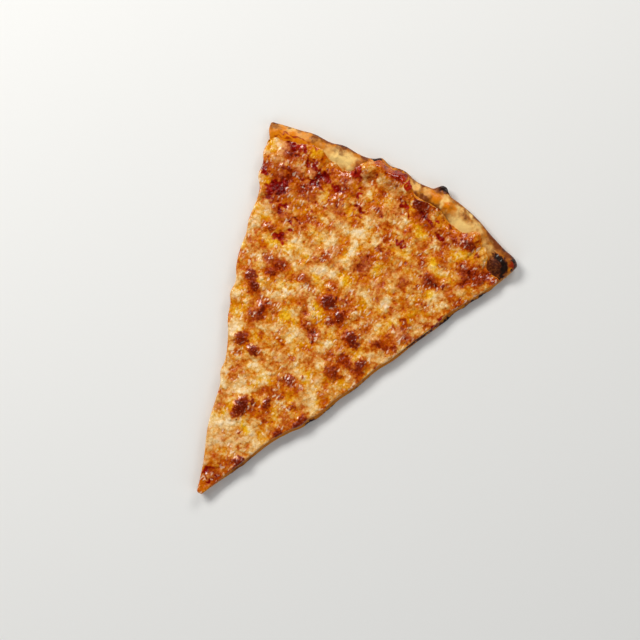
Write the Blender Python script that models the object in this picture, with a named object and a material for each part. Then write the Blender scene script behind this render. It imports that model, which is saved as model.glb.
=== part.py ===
"""Cheese pizza slice: one eighth of a thin eighteen-inch pie, lying flat on its baked base.

Three layers run through the food and show at the two cuts: the crust with its raised rim,
a thin layer of sauce, and the melted cheese. They share one net of triangles seen from
above, so each layer follows the one below it with an even gap. The tip points to -Y, the
rim to +Y, and the baked base lies on z = 0. Lengths are in millimetres until a mesh is made.
"""
import math
from dataclasses import dataclass
from typing import Callable

import bmesh
import bpy
from mathutils import Vector, noise

MM = 0.001

# The cut: two nearly straight cuts that would meet at the middle of the whole pie
PIE_X = -1.2
PIE_Y = -120.7
TIP_RADIUS = 4.0
LEFT_ANGLE = -21.7
RIGHT_ANGLE = 21.4

# Heights and gaps of the layers
BASE_HEIGHT = 3.8
SAUCE_HEIGHT = 0.8
CHEESE_HEIGHT = 2.1
CHEESE_LEAST = 0.9
GAP = 0.3

# The triangle net
NET_STEP = 2.8
RIM_ROWS = 6
TIP_COLUMNS = 2

# Outer edge of the rim: angle in degrees across the slice, distance from the pie's middle
RIM_RADIUS = (
    (-21.7, 230.0), (-17.0, 229.0), (-15.0, 229.3), (-12.2, 227.6), (-10.0, 228.9), (-7.5, 227.7),
    (-5.3, 229.0), (-4.2, 232.3), (-2.8, 230.4), (-0.3, 232.3), (2.0, 230.8), (4.4, 232.9),
    (6.8, 235.2), (9.0, 236.6), (13.0, 237.0), (15.3, 236.4), (18.5, 236.9), (20.4, 238.4),
    (21.4, 237.2),
)
# Bare width between the outer edge and the cheese: angle, width
BARE_WIDTH = (
    (-21.7, 11.5), (-19.0, 10.5), (-15.2, 8.8), (-13.1, 8.0), (-11.8, 11.5), (-9.4, 14.5), (-8.1, 14.0),
    (-7.1, 9.5), (-5.8, 3.4), (-5.0, 2.8), (-2.0, 2.6), (0.0, 3.0), (1.4, 4.5), (2.6, 9.0),
    (4.2, 10.5), (6.1, 11.0), (8.0, 12.5), (9.4, 14.5), (12.6, 13.0), (13.6, 7.0), (14.6, 7.0),
    (15.7, 10.4), (17.3, 11.0), (18.6, 17.0), (20.0, 18.5), (21.4, 15.0),
)
# How far the sauce reaches out past the cheese, at most, and as a share of the bare width
SAUCE_PEEP = 2.2
SAUCE_PEEP_SHARE = 0.4
# Height of the rim's crest above the flat base: angle, height
RIM_RISE = (
    (-21.7, 2.2), (-18.0, 3.0), (-12.0, 4.4), (-9.0, 5.2), (-5.0, 4.6), (0.0, 4.2), (4.0, 5.0),
    (7.0, 6.0), (10.0, 5.2), (13.0, 6.0), (17.0, 5.4), (20.0, 6.2), (21.4, 4.4),
)
CREST_INSET = 4.6
RIM_SHOULDER = 0.55
RIM_WIDTH = 15.5
RIM_BULGE = 1.0
BUBBLE_FADE = 6.0

# How far each cut strays outwards from its straight line: share of the cut's length, distance
LEFT_STRAY = (
    (0.0, 0.0), (0.08, -0.3), (0.18, 1.2), (0.25, -0.3), (0.30, -1.2), (0.325, 0.3), (0.36, -1.4),
    (0.43, 0.1), (0.47, 2.1), (0.51, 2.2), (0.538, 3.7), (0.565, 1.5), (0.61, 3.2), (0.66, 2.6),
    (0.70, 1.0), (0.735, 1.2), (0.79, -1.2), (0.83, -1.5), (0.855, 0.9), (0.89, -0.7), (0.92, 0.5),
    (0.955, -1.3), (0.98, 0.3), (1.0, 0.0),
)
RIGHT_STRAY = (
    (0.0, 0.0), (0.13, 0.4), (0.22, -0.3), (0.28, 1.4), (0.31, 3.2), (0.335, 2.5), (0.365, 3.8),
    (0.42, 2.3), (0.475, 3.0), (0.55, 1.5), (0.60, 2.4), (0.67, 1.6), (0.74, 1.6), (0.78, 0.3),
    (0.83, 0.9), (0.90, 1.8), (0.95, 1.4), (1.0, 0.0),
)

# The base stands out past the cheese on the right cut, and less towards its two ends
RIGHT_SKIRT = 2.7
SKIRT_LEAST = 1.0
SKIRT_FADE = 0.12
# Burnt flakes on that skirt: share of the cut's length, length of the flake, how far it sticks out
SKIRT_FLAKES = (
    (0.09, 3.0, 0.6), (0.13, 3.0, 0.7), (0.345, 8.0, 0.9), (0.405, 8.0, 0.7), (0.775, 9.0, 1.3),
    (0.83, 3.0, 0.7), (0.88, 3.0, 0.7), (0.91, 2.5, 0.6),
)

# The burnt nub that sticks out of the rim
NUB_ANGLE = 5.98
NUB_HALF_ANGLE = 1.0
NUB_LENGTH = 4.4
NUB_FLATNESS = 2.5

# Waviness of the layers where they show at the cuts, and unevenness of the cheese's top
CUT_WAVE = 0.35
CUT_WAVE_LENGTH = 13.0
LUMP_HEIGHT = 0.55
LUMP_LENGTH = 9.0
CURD_HEIGHT = 0.45
CURD_LENGTH = 4.2
CHEESE_FADE = 6.0
SAUCE_WAVE = 0.175
# A layer of the noise for each of these, so that their bumps fall in different places
CUT_NOISE = 0.5
SAUCE_NOISE = 3.5
LUMP_NOISE = 7.5
CURD_NOISE = 11.5

# Rings of the crust's wall: share of the skirt, share of the rim's bulge, distance out
# elsewhere, and share of the wall's height
CRUST_RINGS = ((1.0, -0.6, 0.0, 0.25), (0.55, 1.0, 0.3, 0.68))
# Rings of the other layers' walls: distance out at the cuts and at the rim, share of the height
SAUCE_RINGS = ((0.2, 0.15, 0.5),)
CHEESE_RINGS = ((0.8, 0.2, 0.3), (0.7, 0.15, 0.7))

# Faces whose height varies by less than this, in metres, are level; this many are worth merging
LEVEL = 1e-7
FEWEST_LEVEL_FACES = 7

# Finish of each layer: name, linear colour, roughness
CRUST_FINISH = ("baked_dough", (0.70, 0.42, 0.15), 0.62)
SAUCE_FINISH = ("tomato_sauce", (0.30, 0.03, 0.01), 0.35)
CHEESE_FINISH = ("melted_cheese", (0.78, 0.40, 0.09), 0.32)


@dataclass(frozen=True)
class Mound:
    """A round or oval rise, or a dip where the height is negative, on a layer's top."""

    x: float
    y: float
    length: float
    width: float
    turn: float
    height: float

    def at(self, x: float, y: float) -> float:
        """Height that this mound adds at a point."""
        cosine = math.cos(math.radians(self.turn))
        sine = math.sin(math.radians(self.turn))
        along = ((x - self.x) * cosine + (y - self.y) * sine) / (self.length / 2)
        across = ((y - self.y) * cosine - (x - self.x) * sine) / (self.width / 2)
        return self.height * math.exp(-(along * along + across * across))


# Bubbles in the rim, the largest of them burnt
CRUST_BUBBLES = (
    Mound(73.8, 91.6, 10.5, 9.5, 0.0, 3.0),
    Mound(20.8, 108.0, 9.0, 9.0, 0.0, 1.3),
    Mound(32.0, 107.5, 7.0, 7.5, 0.0, 1.2),
    Mound(15.8, 100.5, 9.0, 6.0, 0.0, 1.4),
    Mound(26.0, 102.8, 7.0, 4.5, 0.0, 0.9),
    Mound(44.0, 107.5, 7.0, 6.0, 0.0, 0.6),
    Mound(-57.5, 98.0, 7.0, 4.0, 15.0, 0.7),
    Mound(-26.0, 102.0, 5.0, 5.0, 0.0, 0.8),
    Mound(82.0, 100.5, 6.0, 5.0, -40.0, 0.9),
)

# Toasted blisters that stand up from the cheese
CHEESE_BLISTERS = (
    Mound(-9.2, -59.0, 9.0, 14.5, 8.0, 1.9),
    Mound(2.8, -50.0, 4.0, 8.0, 25.0, 0.9),
    Mound(25.8, -49.0, 5.5, 13.0, -22.0, 1.2),
    Mound(8.8, -88.5, 7.0, 5.5, 0.0, 1.1),
    Mound(24.8, -14.0, 10.0, 8.0, 0.0, 1.2),
    Mound(26.0, 9.0, 11.0, 7.0, -15.0, 1.3),
    Mound(1.8, 21.0, 9.0, 9.0, 0.0, 1.3),
    Mound(12.0, 17.0, 7.0, 7.0, 0.0, 1.1),
    Mound(-31.2, -26.0, 9.0, 8.0, 0.0, 1.2),
    Mound(-21.2, -28.0, 8.0, 7.0, 0.0, 1.2),
    Mound(-30.0, -4.0, 5.0, 10.0, -25.0, 1.0),
    Mound(-46.0, 8.5, 9.0, 7.0, -20.0, 1.2),
    Mound(-41.0, 4.5, 7.0, 5.0, 0.0, 1.0),
    Mound(-17.2, 25.0, 9.0, 9.0, 0.0, 1.1),
    Mound(-38.0, 21.0, 12.0, 9.0, 0.0, 0.9),
    Mound(38.0, -1.0, 6.0, 11.0, -10.0, 1.0),
    Mound(40.0, 15.5, 9.0, 5.0, 0.0, 0.9),
    Mound(-52.0, 38.8, 7.0, 7.0, 0.0, 1.1),
    Mound(-63.2, 74.0, 9.0, 4.5, 12.0, 1.2),
    Mound(54.8, 94.8, 7.0, 7.5, 0.0, 1.5),
    Mound(-16.2, 43.0, 8.0, 8.0, 0.0, 0.8),
    Mound(43.8, 65.0, 9.0, 9.0, 0.0, 0.9),
    Mound(45.0, 26.0, 13.0, 12.0, 0.0, 0.8),
    Mound(21.0, 82.8, 12.0, 11.0, 0.0, 0.7),
    Mound(-64.0, 79.5, 16.0, 8.0, 0.0, 0.8),
)

# Places where the cheese parts and the sauce below shows
SAUCE_POOLS = (
    Mound(-41.2, 82.8, 9.0, 7.0, -15.0, -1.3),
    Mound(-53.4, 84.0, 4.0, 9.0, 0.0, -1.1),
    Mound(-62.2, 64.0, 12.0, 13.0, 0.0, -1.2),
    Mound(-67.0, 86.0, 8.0, 6.0, -20.0, -1.2),
    Mound(-51.2, 54.0, 7.0, 7.0, 0.0, -1.0),
    Mound(-44.2, 37.0, 7.0, 6.0, 0.0, -1.0),
    Mound(-26.0, 94.0, 6.0, 7.0, 0.0, -1.1),
    Mound(-30.5, 79.0, 8.0, 6.0, -20.0, -1.1),
    Mound(-12.2, 76.0, 5.0, 6.0, 0.0, -0.9),
    Mound(-46.0, 75.5, 10.0, 3.0, 25.0, -1.0),
    Mound(19.5, 94.0, 8.0, 5.0, 40.0, -0.9),
    Mound(36.0, 89.0, 5.0, 6.0, -50.0, -0.9),
    Mound(64.8, 47.0, 4.0, 5.0, 0.0, -0.8),
    Mound(-9.0, -91.0, 6.0, 6.0, 0.0, -0.8),
    Mound(-6.0, -102.5, 4.0, 5.0, 0.0, -0.9),
)


def track(stations: tuple, at: float) -> float:
    """Smooth curve through (position, value) stations, read at one position."""
    if at <= stations[0][0]:
        return stations[0][1]
    if at >= stations[-1][0]:
        return stations[-1][1]
    last = len(stations) - 1
    right = next(index for index in range(1, last + 1) if stations[index][0] >= at)
    before, start = stations[max(right - 2, 0)], stations[right - 1]
    end, after = stations[right], stations[min(right + 1, last)]
    span = end[0] - start[0]
    slope_start = (end[1] - before[1]) / (end[0] - before[0])
    slope_end = (after[1] - start[1]) / (after[0] - start[0])
    t = (at - start[0]) / span
    rise = end[1] - start[1]
    cubic = slope_start * span + slope_end * span - 2 * rise
    square = 3 * rise - 2 * slope_start * span - slope_end * span
    return start[1] + t * (slope_start * span + t * (square + t * cubic))


def ease(share: float) -> float:
    """Smooth step from 0 to 1."""
    share = min(max(share, 0.0), 1.0)
    return share * share * (3 - 2 * share)


def waves(x: float, y: float, length: float, layer: float) -> float:
    """Even noise between about -1 and 1, whose bumps are about one length across."""
    return noise.noise(Vector((x / length, y / length, layer)))


def rim_angle(share: float) -> float:
    """Angle in degrees at a share of the way from the left cut to the right one."""
    return LEFT_ANGLE + (RIGHT_ANGLE - LEFT_ANGLE) * share


def nub(angle: float) -> float:
    """Distance that the burnt nub adds to the rim's outer edge."""
    return NUB_LENGTH * ease(NUB_FLATNESS * (1 - abs(angle - NUB_ANGLE) / NUB_HALF_ANGLE))


def skirt(along: float) -> float:
    """Distance that the base stands out past the cheese, along the right cut."""
    fade = ease(along / SKIRT_FADE) * ease((1 - along) / SKIRT_FADE)
    return SKIRT_LEAST + (RIGHT_SKIRT - SKIRT_LEAST) * fade


def flakes(along: float, cut_length: float) -> float:
    """Distance that burnt flakes add to the skirt's lower edge."""
    return sum(
        out * math.exp(-(((along - place) * cut_length / (size / 2)) ** 2))
        for place, size, out in SKIRT_FLAKES
    )


@dataclass(frozen=True)
class Spot:
    """One point of the net, seen from above."""

    x: float
    y: float
    angle: float
    inset: float
    along: float
    sides: tuple


def spot(share: float, radius: float, sides: tuple) -> Spot:
    """The net's point at a share across the slice and a distance from the pie's middle."""
    angle = rim_angle(share)
    outer = track(RIM_RADIUS, angle) - RIM_BULGE
    along = (radius - TIP_RADIUS) / (outer - TIP_RADIUS)
    left = LEFT_ANGLE - math.degrees(track(LEFT_STRAY, along) / radius)
    reach = track(RIGHT_STRAY, along) - skirt(along)
    right = RIGHT_ANGLE + math.degrees(reach / radius)
    turn = math.radians(left + (right - left) * share)
    x = PIE_X + radius * math.sin(turn)
    y = PIE_Y + radius * math.cos(turn)
    return Spot(x, y, angle, outer - radius, along, sides)


def sauce_inset(angle: float) -> float:
    """Distance from the rim's edge to the sauce, which peeps out past the cheese."""
    bare = track(BARE_WIDTH, angle)
    return bare - min(SAUCE_PEEP, SAUCE_PEEP_SHARE * bare)


class Net:
    """The triangle net of all layers: rows from the tip to the rim, finer where it is narrow."""

    def __init__(self) -> None:
        reach = track(RIM_RADIUS, 0.0) - track(BARE_WIDTH, 0.0) - TIP_RADIUS
        self.cheese_rows = round(reach / NET_STEP)
        self.sauce_rows = self.cheese_rows + 1
        self.rim_rows = self.sauce_rows + RIM_ROWS
        self.spots: list[Spot] = []
        self.rows: list[list[int]] = []
        for row in range(self.rim_rows + 1):
            self.rows.append(self._row(row))

    def _radius(self, row: int, share: float) -> float:
        """Distance from the pie's middle to a row at a share across the slice."""
        angle = rim_angle(share)
        outer = track(RIM_RADIUS, angle) - RIM_BULGE
        cheese = outer - track(BARE_WIDTH, angle)
        sauce = outer - sauce_inset(angle)
        if row <= self.cheese_rows:
            return TIP_RADIUS + (cheese - TIP_RADIUS) * row / self.cheese_rows
        if row == self.sauce_rows:
            return sauce
        step = (row - self.sauce_rows) / RIM_ROWS
        return sauce + (outer + nub(angle) - sauce) * math.sin(math.pi / 2 * step)

    def _row(self, row: int) -> list[int]:
        """Adds one row's points, as many as its length needs."""
        middle = self._radius(row, 0.5)
        length = math.radians(RIGHT_ANGLE - LEFT_ANGLE) * middle
        columns = max(TIP_COLUMNS, round(length / NET_STEP))
        line = []
        for column in range(columns + 1):
            share = column / columns
            sides = tuple(
                side
                for side, there in (("left", column == 0), ("right", column == columns))
                if there
            )
            line.append(len(self.spots))
            self.spots.append(spot(share, self._radius(row, share), sides))
        return line

    def triangles(self, last_row: int) -> list[tuple[int, int, int]]:
        """Triangles between the tip and one row, counterclockwise from above."""
        faces = []
        for row in range(last_row):
            lower, upper = self.rows[row], self.rows[row + 1]
            low, high = 0, 0
            while low < len(lower) - 1 or high < len(upper) - 1:
                next_low = (low + 1) / (len(lower) - 1)
                next_high = (high + 1) / (len(upper) - 1)
                if high == len(upper) - 1 or (low < len(lower) - 1 and next_low <= next_high):
                    faces.append((lower[low], lower[low + 1], upper[high]))
                    low += 1
                else:
                    faces.append((lower[low], upper[high + 1], upper[high]))
                    high += 1
        return faces

    def border(self, last_row: int) -> list[int]:
        """The points round the outside, counterclockwise from above, starting at the tip."""
        right = [self.rows[row][-1] for row in range(1, last_row)]
        left = [self.rows[row][0] for row in range(last_row - 1, 0, -1)]
        return self.rows[0] + right + self.rows[last_row][::-1] + left

    def outward(self, index: int, last_row: int) -> list[tuple[str, Vector]]:
        """The sides that a border point is on, each with its outward direction."""
        point = self.spots[index]
        left, right = math.radians(LEFT_ANGLE), math.radians(RIGHT_ANGLE)
        directions = {
            "left": Vector((-math.cos(left), math.sin(left))),
            "right": Vector((math.cos(right), -math.sin(right))),
        }
        found = [(side, directions[side]) for side in point.sides]
        if index in self.rows[0]:
            found.append(("tip", Vector((0.0, -1.0))))
        if index in self.rows[last_row]:
            turn = math.radians(point.angle)
            found.append(("rim", Vector((math.sin(turn), math.cos(turn)))))
        return found


@dataclass(frozen=True)
class Ring:
    """One ring of a layer's wall: how far out it lies on a side, and its share of the height."""

    out: Callable[[str, Spot], float]
    lift: float


@dataclass(frozen=True)
class Layer:
    """One layer of the food, from the tip to its last row."""

    name: str
    last_row: int
    floor: Callable[[Spot, bool], float]
    roof: Callable[[Spot, bool], float]
    rings: tuple


def crust_top(point: Spot, edge: bool) -> float:
    """Height of the crust: a flat base, wavy at the cuts, and a raised rim with bubbles."""
    rise = track(RIM_RISE, point.angle)
    inset = max(point.inset, 0.0)
    if inset < CREST_INSET:
        profile = RIM_SHOULDER + (1 - RIM_SHOULDER) * math.sin(math.pi / 2 * inset / CREST_INSET)
    else:
        profile = 1 - ease((inset - CREST_INSET) / (RIM_WIDTH - CREST_INSET))
    height = BASE_HEIGHT + rise * profile
    reach = RIM_WIDTH + BUBBLE_FADE
    if inset < reach:
        fade = ease((reach - inset) / BUBBLE_FADE)
        height += fade * sum(bubble.at(point.x, point.y) for bubble in CRUST_BUBBLES)
    if edge:
        height += CUT_WAVE * waves(point.x, point.y, CUT_WAVE_LENGTH, CUT_NOISE)
    return height


def sauce_top(point: Spot, edge: bool) -> float:
    """Height of the sauce, which varies a little where the cuts show it."""
    height = crust_top(point, edge) + GAP + SAUCE_HEIGHT
    if edge:
        height += SAUCE_WAVE * waves(point.x, point.y, CURD_LENGTH, SAUCE_NOISE)
    return height


def cheese_top(point: Spot, edge: bool) -> float:
    """Height of the cheese, with lumps, curds, toasted blisters and dips."""
    x, y = point.x, point.y
    bare = track(BARE_WIDTH, point.angle)
    depth = CHEESE_HEIGHT
    depth += LUMP_HEIGHT * waves(x, y, LUMP_LENGTH, LUMP_NOISE)
    depth += CURD_HEIGHT * waves(x, y, CURD_LENGTH, CURD_NOISE)
    depth += sum(blister.at(x, y) for blister in CHEESE_BLISTERS)
    depth += sum(pool.at(x, y) for pool in SAUCE_POOLS)
    fade = ease((point.inset - bare) / CHEESE_FADE)
    depth = CHEESE_LEAST + (max(depth, CHEESE_LEAST) - CHEESE_LEAST) * fade
    return sauce_top(point, edge) + GAP + depth


def crust_out(right: float, rim: float, rest: float) -> Callable[[str, Spot], float]:
    """How far out a ring of the crust's wall lies.

    On the right cut it is a share of the skirt, on the rim a share of the rim's bulge,
    and elsewhere a distance.
    """
    cut_length = RIM_RADIUS[-1][1] - TIP_RADIUS

    def out(side: str, point: Spot) -> float:
        if side == "right":
            return right * (skirt(point.along) + flakes(point.along, cut_length))
        if side == "rim":
            return rim * RIM_BULGE
        return rest

    return out


def even_out(cut: float, rim: float) -> Callable[[str, Spot], float]:
    """How far out a ring lies: one distance at the cuts and one at the rim."""

    def out(side: str, point: Spot) -> float:
        return rim if side == "rim" else cut

    return out


def build_mesh(net: Net, layer: Layer) -> bpy.types.Mesh:
    """Makes a layer's closed mesh: roof, floor, and a wall of rings between them."""
    faces = net.triangles(layer.last_row)
    border = net.border(layer.last_row)
    on_border = set(border)
    used = [index for row in net.rows[: layer.last_row + 1] for index in row]
    built = bmesh.new()

    def vertex(x: float, y: float, z: float) -> bmesh.types.BMVert:
        return built.verts.new((x * MM, y * MM, z * MM))

    roof, floor = {}, {}
    for index in used:
        point = net.spots[index]
        edge = index in on_border
        roof[index] = vertex(point.x, point.y, layer.roof(point, edge))
        floor[index] = vertex(point.x, point.y, layer.floor(point, edge))
    loops = [[floor[index] for index in border]]
    for ring in layer.rings:
        loop = []
        for index in border:
            point = net.spots[index]
            low, high = layer.floor(point, True), layer.roof(point, True)
            place = Vector((point.x, point.y))
            for side, direction in net.outward(index, layer.last_row):
                place += direction * ring.out(side, point)
            loop.append(vertex(place.x, place.y, low + (high - low) * ring.lift))
        loops.append(loop)
    loops.append([roof[index] for index in border])
    for face in faces:
        built.faces.new([roof[index] for index in face])
        built.faces.new([floor[index] for index in reversed(face)])
    for lower, upper in zip(loops, loops[1:]):
        for here in range(len(border)):
            after = (here + 1) % len(border)
            built.faces.new((lower[here], lower[after], upper[after], upper[here]))
    merge_flat_faces(built)
    mesh = bpy.data.meshes.new(layer.name)
    built.to_mesh(mesh)
    built.free()
    return mesh


def merge_flat_faces(built: bmesh.types.BMesh) -> None:
    """Merges each large level area into one face, then splits it into as few triangles as it takes."""
    built.normal_update()
    areas: dict[tuple[int, bool], list] = {}
    for face in built.faces:
        heights = [vert.co.z for vert in face.verts]
        if max(heights) - min(heights) < LEVEL:
            key = (round(heights[0] / LEVEL), face.normal.z > 0)
            areas.setdefault(key, []).append(face)
    for area in areas.values():
        if len(area) >= FEWEST_LEVEL_FACES:
            bmesh.ops.dissolve_faces(built, faces=area, use_verts=False)
    bmesh.ops.triangulate(built, faces=built.faces[:], quad_method="SHORT_EDGE", ngon_method="BEAUTY")


def material(finish: tuple) -> bpy.types.Material:
    """A plain baked-food finish from its name, colour and roughness."""
    name, color, roughness = finish
    made = bpy.data.materials.new(name)
    made.use_nodes = True
    shader = made.node_tree.nodes["Principled BSDF"]
    shader.inputs["Base Color"].default_value = (*color, 1.0)
    shader.inputs["Roughness"].default_value = roughness
    shader.inputs["Metallic"].default_value = 0.0
    return made


def add_layer(net: Net, layer: Layer, finish: tuple) -> bpy.types.Object:
    """Adds one layer to the scene."""
    mesh = build_mesh(net, layer)
    mesh.materials.append(material(finish))
    piece = bpy.data.objects.new(layer.name, mesh)
    bpy.context.scene.collection.objects.link(piece)
    return piece


def crust_layer(net: Net) -> Layer:
    """Baked dough: a flat base, a skirt past the right cut, and a rounded rim."""
    rings = tuple(Ring(crust_out(right, rim, rest), lift) for right, rim, rest, lift in CRUST_RINGS)
    return Layer("crust", net.rim_rows, lambda point, edge: 0.0, crust_top, rings)


def sauce_layer(net: Net) -> Layer:
    """Tomato sauce: a thin layer over the base, out to just past the cheese."""

    def floor(point: Spot, edge: bool) -> float:
        return crust_top(point, edge) + GAP

    rings = tuple(Ring(even_out(cut, rim), lift) for cut, rim, lift in SAUCE_RINGS)
    return Layer("sauce", net.sauce_rows, floor, sauce_top, rings)


def cheese_layer(net: Net) -> Layer:
    """Melted cheese, whose edge bulges out a little at the cuts."""

    def floor(point: Spot, edge: bool) -> float:
        return sauce_top(point, edge) + GAP

    rings = tuple(Ring(even_out(cut, rim), lift) for cut, rim, lift in CHEESE_RINGS)
    return Layer("cheese", net.cheese_rows, floor, cheese_top, rings)


def centre(pieces: list[bpy.types.Object]) -> None:
    """Moves all the layers together, so that the box round them is centred on the origin."""
    points = [vertex.co for piece in pieces for vertex in piece.data.vertices]
    middle_x = (min(point.x for point in points) + max(point.x for point in points)) / 2
    middle_y = (min(point.y for point in points) + max(point.y for point in points)) / 2
    for piece in pieces:
        for vertex in piece.data.vertices:
            vertex.co.x -= middle_x
            vertex.co.y -= middle_y


def main() -> None:
    """Builds the slice in an empty scene."""
    for old in list(bpy.data.objects):
        bpy.data.objects.remove(old)
    net = Net()
    pieces = [
        add_layer(net, crust_layer(net), CRUST_FINISH),
        add_layer(net, sauce_layer(net), SAUCE_FINISH),
        add_layer(net, cheese_layer(net), CHEESE_FINISH),
    ]
    centre(pieces)


main()
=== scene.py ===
"""Looks of the cheese pizza slice: baked crust, oily sauce and toasted melted cheese.

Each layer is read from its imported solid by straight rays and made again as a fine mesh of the
same form, with small relief. Patterns that cover the slice are drawn on an even chart seen from
above, in millimetres, and stored on the meshes as attributes that the finishes read.
"""

import logging
import math
from dataclasses import dataclass, field
from enum import Enum
from typing import Callable, ClassVar, Sequence, Union

import bpy
import numpy as np
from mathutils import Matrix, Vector
from mathutils.bvhtree import BVHTree


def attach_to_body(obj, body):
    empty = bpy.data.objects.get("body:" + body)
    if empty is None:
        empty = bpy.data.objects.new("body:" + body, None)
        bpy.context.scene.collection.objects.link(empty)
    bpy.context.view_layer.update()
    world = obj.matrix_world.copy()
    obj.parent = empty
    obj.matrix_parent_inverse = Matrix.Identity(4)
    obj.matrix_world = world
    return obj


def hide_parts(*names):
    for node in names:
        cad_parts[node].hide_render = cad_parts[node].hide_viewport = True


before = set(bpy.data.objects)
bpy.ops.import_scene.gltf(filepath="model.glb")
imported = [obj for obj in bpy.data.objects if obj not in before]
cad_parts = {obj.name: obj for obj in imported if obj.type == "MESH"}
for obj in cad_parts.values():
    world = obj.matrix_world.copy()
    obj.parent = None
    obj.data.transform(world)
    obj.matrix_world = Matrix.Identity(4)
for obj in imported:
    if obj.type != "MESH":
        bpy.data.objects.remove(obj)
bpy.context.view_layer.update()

LOG = logging.getLogger("pizza_slice")
MM = 0.001

# Middle of the whole pie, and the place of the chart's zero, in the part's frame, in mm
PIE_CENTRE = (-0.4, -120.16)
CHART_ZERO = (-0.4, -2.46)


def ease(low: float, high: float, value: np.ndarray) -> np.ndarray:
    """Smooth step between two limits, falling where low is above high.

    Args:
        low: Value that gives 0.
        high: Value that gives 1.
        value: Numbers to step.

    Returns:
        Numbers from 0 to 1.
    """
    share = np.clip((value - low) / (high - low), 0.0, 1.0)
    return share * share * (3.0 - 2.0 * share)


def blend(start: np.ndarray, end: np.ndarray, share: np.ndarray) -> np.ndarray:
    """Straight mix of two values."""
    return start + (end - start) * share


@dataclass(frozen=True)
class Patch:
    """An oval place, in mm from the chart's zero, turned by some degrees."""

    x: float
    y: float
    wide: float
    tall: float
    turn: float = 0.0
    strength: float = 1.0


class Chart:
    """Even grid over the slice, seen from above, on which patterns are drawn."""

    # Deviations of the two bell curves whose difference is grain, as shares of a bump's width
    FINE = 0.2
    COARSE = 0.45
    # How many times its raggedness an oval's edge can stray
    STRAY = 3.0
    # Keeps a place's next neighbour on the grid
    LAST = 1.001

    def __init__(self, half_width: float = 92.0, half_length: float = 122.0, step: float = 0.25) -> None:
        """Makes the grid.

        Args:
            half_width: Reach to each side, in mm.
            half_length: Reach to tip and rim, in mm.
            step: Distance between neighbours, in mm.
        """
        self.step = step
        self.low = (-half_width, -half_length)
        columns = round(2 * half_width / step) + 1
        rows = round(2 * half_length / step) + 1
        across = np.linspace(-half_width, half_width, columns)
        along = np.linspace(-half_length, half_length, rows)
        self.x, self.y = np.meshgrid(across, along)
        self._fx, self._fy = np.meshgrid(np.fft.rfftfreq(columns, step), np.fft.fftfreq(rows, step))

    def blur(self, values: np.ndarray, size: float, stretch: float = 1.0) -> np.ndarray:
        """Smooths a pattern.

        Args:
            values: The pattern.
            size: Deviation of the bell curve, in mm.
            stretch: How much longer the bell is towards the rim.

        Returns:
            The smoothed pattern.
        """
        shape = np.exp(-2.0 * (math.pi * size) ** 2 * (self._fx**2 + (self._fy * stretch) ** 2))
        return np.fft.irfft2(np.fft.rfft2(values) * shape, s=values.shape)

    def grain(self, size: float, seed: int, stretch: float = 1.0) -> np.ndarray:
        """Even noise whose bumps are about one size across.

        Args:
            size: Width of a bump, in mm.
            seed: Choice of the pattern.
            stretch: How much longer a bump is towards the rim.

        Returns:
            Noise with mean 0 and deviation 1.
        """
        white = np.random.default_rng(seed).standard_normal(self.x.shape)
        made = self.blur(white, self.FINE * size, stretch) - self.blur(white, self.COARSE * size, stretch)
        return made / made.std()

    def draw(
        self, patches: Sequence[Patch], ragged: float, soft: float, seed: int, size: float
    ) -> np.ndarray:
        """Draws ovals with uneven edges.

        Args:
            patches: The ovals, placed from the chart's zero.
            ragged: How far the edges stray, in mm.
            soft: Share of an oval's radius over which its edge fades.
            seed: Choice of the unevenness.
            size: Size of the unevenness, in mm.

        Returns:
            Strength of the strongest oval at each place.
        """
        x = self.x + ragged * self.grain(size, seed) - CHART_ZERO[0]
        y = self.y + ragged * self.grain(size, seed + 1) - CHART_ZERO[1]
        made = np.zeros_like(self.x)
        for patch in patches:
            reach = max(patch.wide, patch.tall) * (1.0 + soft) / 2 + self.STRAY * ragged
            column = (patch.x + CHART_ZERO[0] - self.low[0]) / self.step
            row = (patch.y + CHART_ZERO[1] - self.low[1]) / self.step
            span = reach / self.step
            part = (
                slice(max(0, int(row - span)), max(0, int(row + span) + 1)),
                slice(max(0, int(column - span)), max(0, int(column + span) + 1)),
            )
            turn = math.radians(patch.turn)
            off_x, off_y = x[part] - patch.x, y[part] - patch.y
            along = (off_x * math.cos(turn) + off_y * math.sin(turn)) / (patch.wide / 2)
            across = (off_y * math.cos(turn) - off_x * math.sin(turn)) / (patch.tall / 2)
            mask = patch.strength * ease(1.0 + soft, 1.0 - soft, np.hypot(along, across))
            made[part] = np.maximum(made[part], mask)
        return made

    def read(self, values: np.ndarray, x: np.ndarray, y: np.ndarray) -> np.ndarray:
        """Reads a pattern between the grid's points.

        Args:
            values: The pattern.
            x: Places across, in the part's frame, in mm.
            y: Places along.

        Returns:
            The pattern's values there.
        """
        column = np.clip((x - self.low[0]) / self.step, 0, values.shape[1] - self.LAST)
        row = np.clip((y - self.low[1]) / self.step, 0, values.shape[0] - self.LAST)
        left, down = column.astype(int), row.astype(int)
        across, along = column - left, row - down
        lower = blend(values[down, left], values[down, left + 1], across)
        upper = blend(values[down + 1, left], values[down + 1, left + 1], across)
        return blend(lower, upper, along)


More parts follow.
